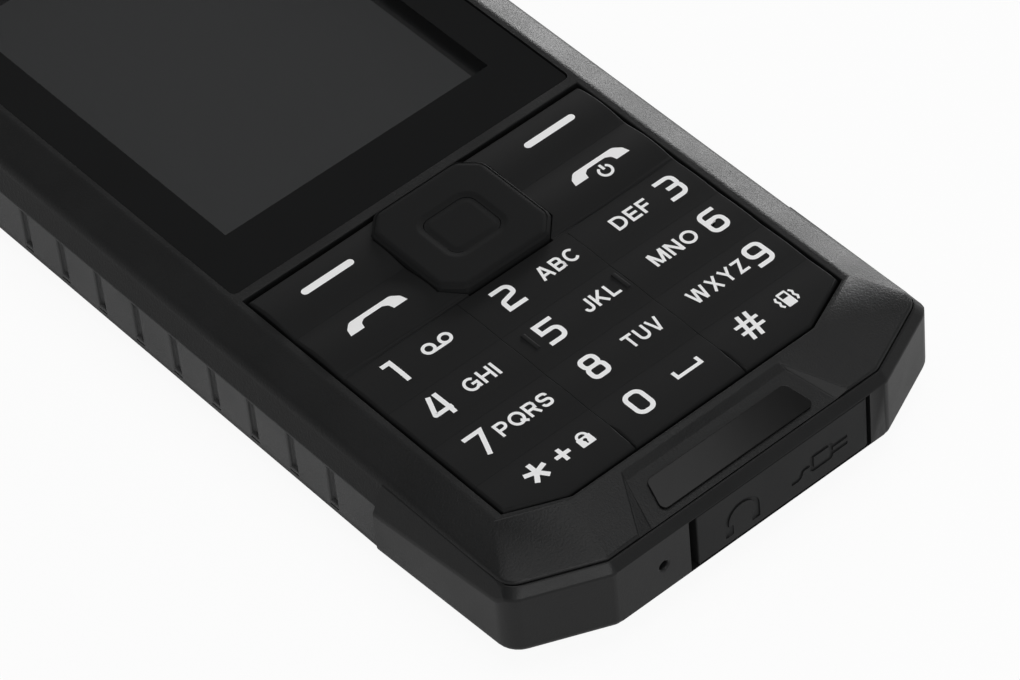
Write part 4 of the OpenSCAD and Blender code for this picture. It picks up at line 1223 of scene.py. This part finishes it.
RIDGE_PLACES = (-5.9, 7.2)
RIDGE_SIZE = (0.6, 2.8, 0.3)
RIDGE_RISE = 0.09
RIDGE_UP = 0.93

ridges = []
for x in RIDGE_PLACES:
    bpy.ops.object.select_all(action="DESELECT")
    bpy.ops.mesh.primitive_cube_add(size=1)
    ridge = bpy.context.object
    ridge.scale = Vector(RIDGE_SIZE) * MM
    place_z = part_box("key_5")[1].z + (RIDGE_RISE - RIDGE_SIZE[2] / 2) * MM
    ridge.location = (x * MM, (row_middle("key_5") + RIDGE_UP) * MM, place_z)
    bpy.ops.object.transform_apply()
    finish_with(ridge, "BEVEL", width=RIDGE_ROUND * MM, segments=4, limit_method="NONE")
    smooth(ridge, CAP_DEG)
    ridges.append(ridge)
guide = joined(ridges, "key_5_ridges")
guide.data.materials.append(FINISHES["keys"])
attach(guide, nodes["key_5"]["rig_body"])


# Camera, floor and light

# Floor: size in metres, drop below the phone's back, grey, and how white it is seen and mirrored
FLOOR_SIZE = 6
FLOOR_DROP = 0.05
FLOOR_GREY = 0.85
FLOOR_GLOW = 0.93
FLOOR_MIRRORED = 0.3

# Sky: two heights of a ray, its levels there, and how white it is mirrored
SKY_HEIGHTS = (0.15, 0.5)
SKY_LEVELS = (0.55, 0.17)
SKY_MIRRORED = 0.25

# Soft boxes: place, aim and size in metres, and power in watts
LAMPS = {
    "key_softbox": ((0.05, -0.12, 0.85), (0.05, -0.119, 0), (0.72, 0.6), 3.0),
    "right_softbox": ((0.78, 0.5, 0.14), (0, -0.03, 0.01), (0.5, 0.22), 4.0),
    "front_softbox": ((-0.2, -0.72, 0.44), (0, -0.05, 0.01), (0.4, 0.3), 2.3),
}

bpy.ops.object.camera_add(location=Vector(EYE) * MM)
camera = bpy.context.object
camera.data.lens = LENS_MM
camera.data.sensor_fit = "HORIZONTAL"
camera.rotation_mode = "QUATERNION"
looking = (Vector(AIM) - Vector(EYE)).to_track_quat("-Z", "Y")
camera.rotation_quaternion = looking @ Quaternion((0, 0, 1), math.radians(ROLL_DEG))
scene.camera = camera

bpy.ops.object.select_all(action="DESELECT")
bpy.ops.mesh.primitive_plane_add(size=FLOOR_SIZE)
floor = bpy.context.object
floor.name = "studio_floor"
floor.location.z -= FLOOR_DROP * MM


def floor_finish():
    """White floor: seen as white, with the phone's shadow left on it."""
    finish = bpy.data.materials.new("white_floor")
    finish.use_nodes = True
    tree = finish.node_tree
    shader = tree.nodes["Principled BSDF"]
    shader.inputs["Base Color"].default_value = (*grey(FLOOR_GREY), 1)
    shader.inputs["Roughness"].default_value = 0.9
    shader.inputs["Specular IOR Level"].default_value = 0.0
    glow = add_node(tree, "ShaderNodeEmission", Strength=1.0)
    paths = tree.nodes.new("ShaderNodeLightPath")
    mirrored = reckon(tree, "MULTIPLY", paths.outputs["Is Glossy Ray"], FLOOR_MIRRORED)
    white = reckon(tree, "MULTIPLY_ADD", paths.outputs["Is Camera Ray"], FLOOR_GLOW, mirrored)
    blend = tree.nodes.new("ShaderNodeMixShader")
    tree.links.new(white, blend.inputs["Fac"])
    tree.links.new(shader.outputs["BSDF"], blend.inputs[1])
    tree.links.new(glow.outputs["Emission"], blend.inputs[2])
    tree.links.new(blend.outputs["Shader"], tree.nodes["Material Output"].inputs["Surface"])
    return finish


floor.data.materials.append(floor_finish())


def lamp(name, place, aim, size, watts):
    """A soft box turned to a point."""
    bpy.ops.object.light_add(type="AREA", location=place)
    light = bpy.context.object
    light.name = name
    light.data.shape = "RECTANGLE"
    light.data.size, light.data.size_y = size
    light.data.energy = watts
    light.rotation_euler = (Vector(aim) - Vector(place)).to_track_quat("-Z", "Y").to_euler()


for name, values in LAMPS.items():
    lamp(name, *values)

world = bpy.data.worlds.new("studio")
scene.world = world
world.use_nodes = True
air = world.node_tree
background = air.nodes["Background"]
background.inputs["Color"].default_value = (1, 1, 1, 1)
direction = air.nodes.new("ShaderNodeTexCoord")
height = air.nodes.new("ShaderNodeSeparateXYZ")
air.links.new(direction.outputs["Generated"], height.inputs["Vector"])
fade = graded(air, height.outputs["Z"], SKY_HEIGHTS, SKY_LEVELS)
paths = air.nodes.new("ShaderNodeLightPath")
seen = reckon(air, "MAXIMUM", paths.outputs["Is Camera Ray"], paths.outputs["Is Transmission Ray"])
white = reckon(air, "MULTIPLY_ADD", paths.outputs["Is Glossy Ray"], SKY_MIRRORED, seen)
air.links.new(reckon(air, "MAXIMUM", fade, white), background.inputs["Strength"])

scene.view_settings.view_transform = "Standard"
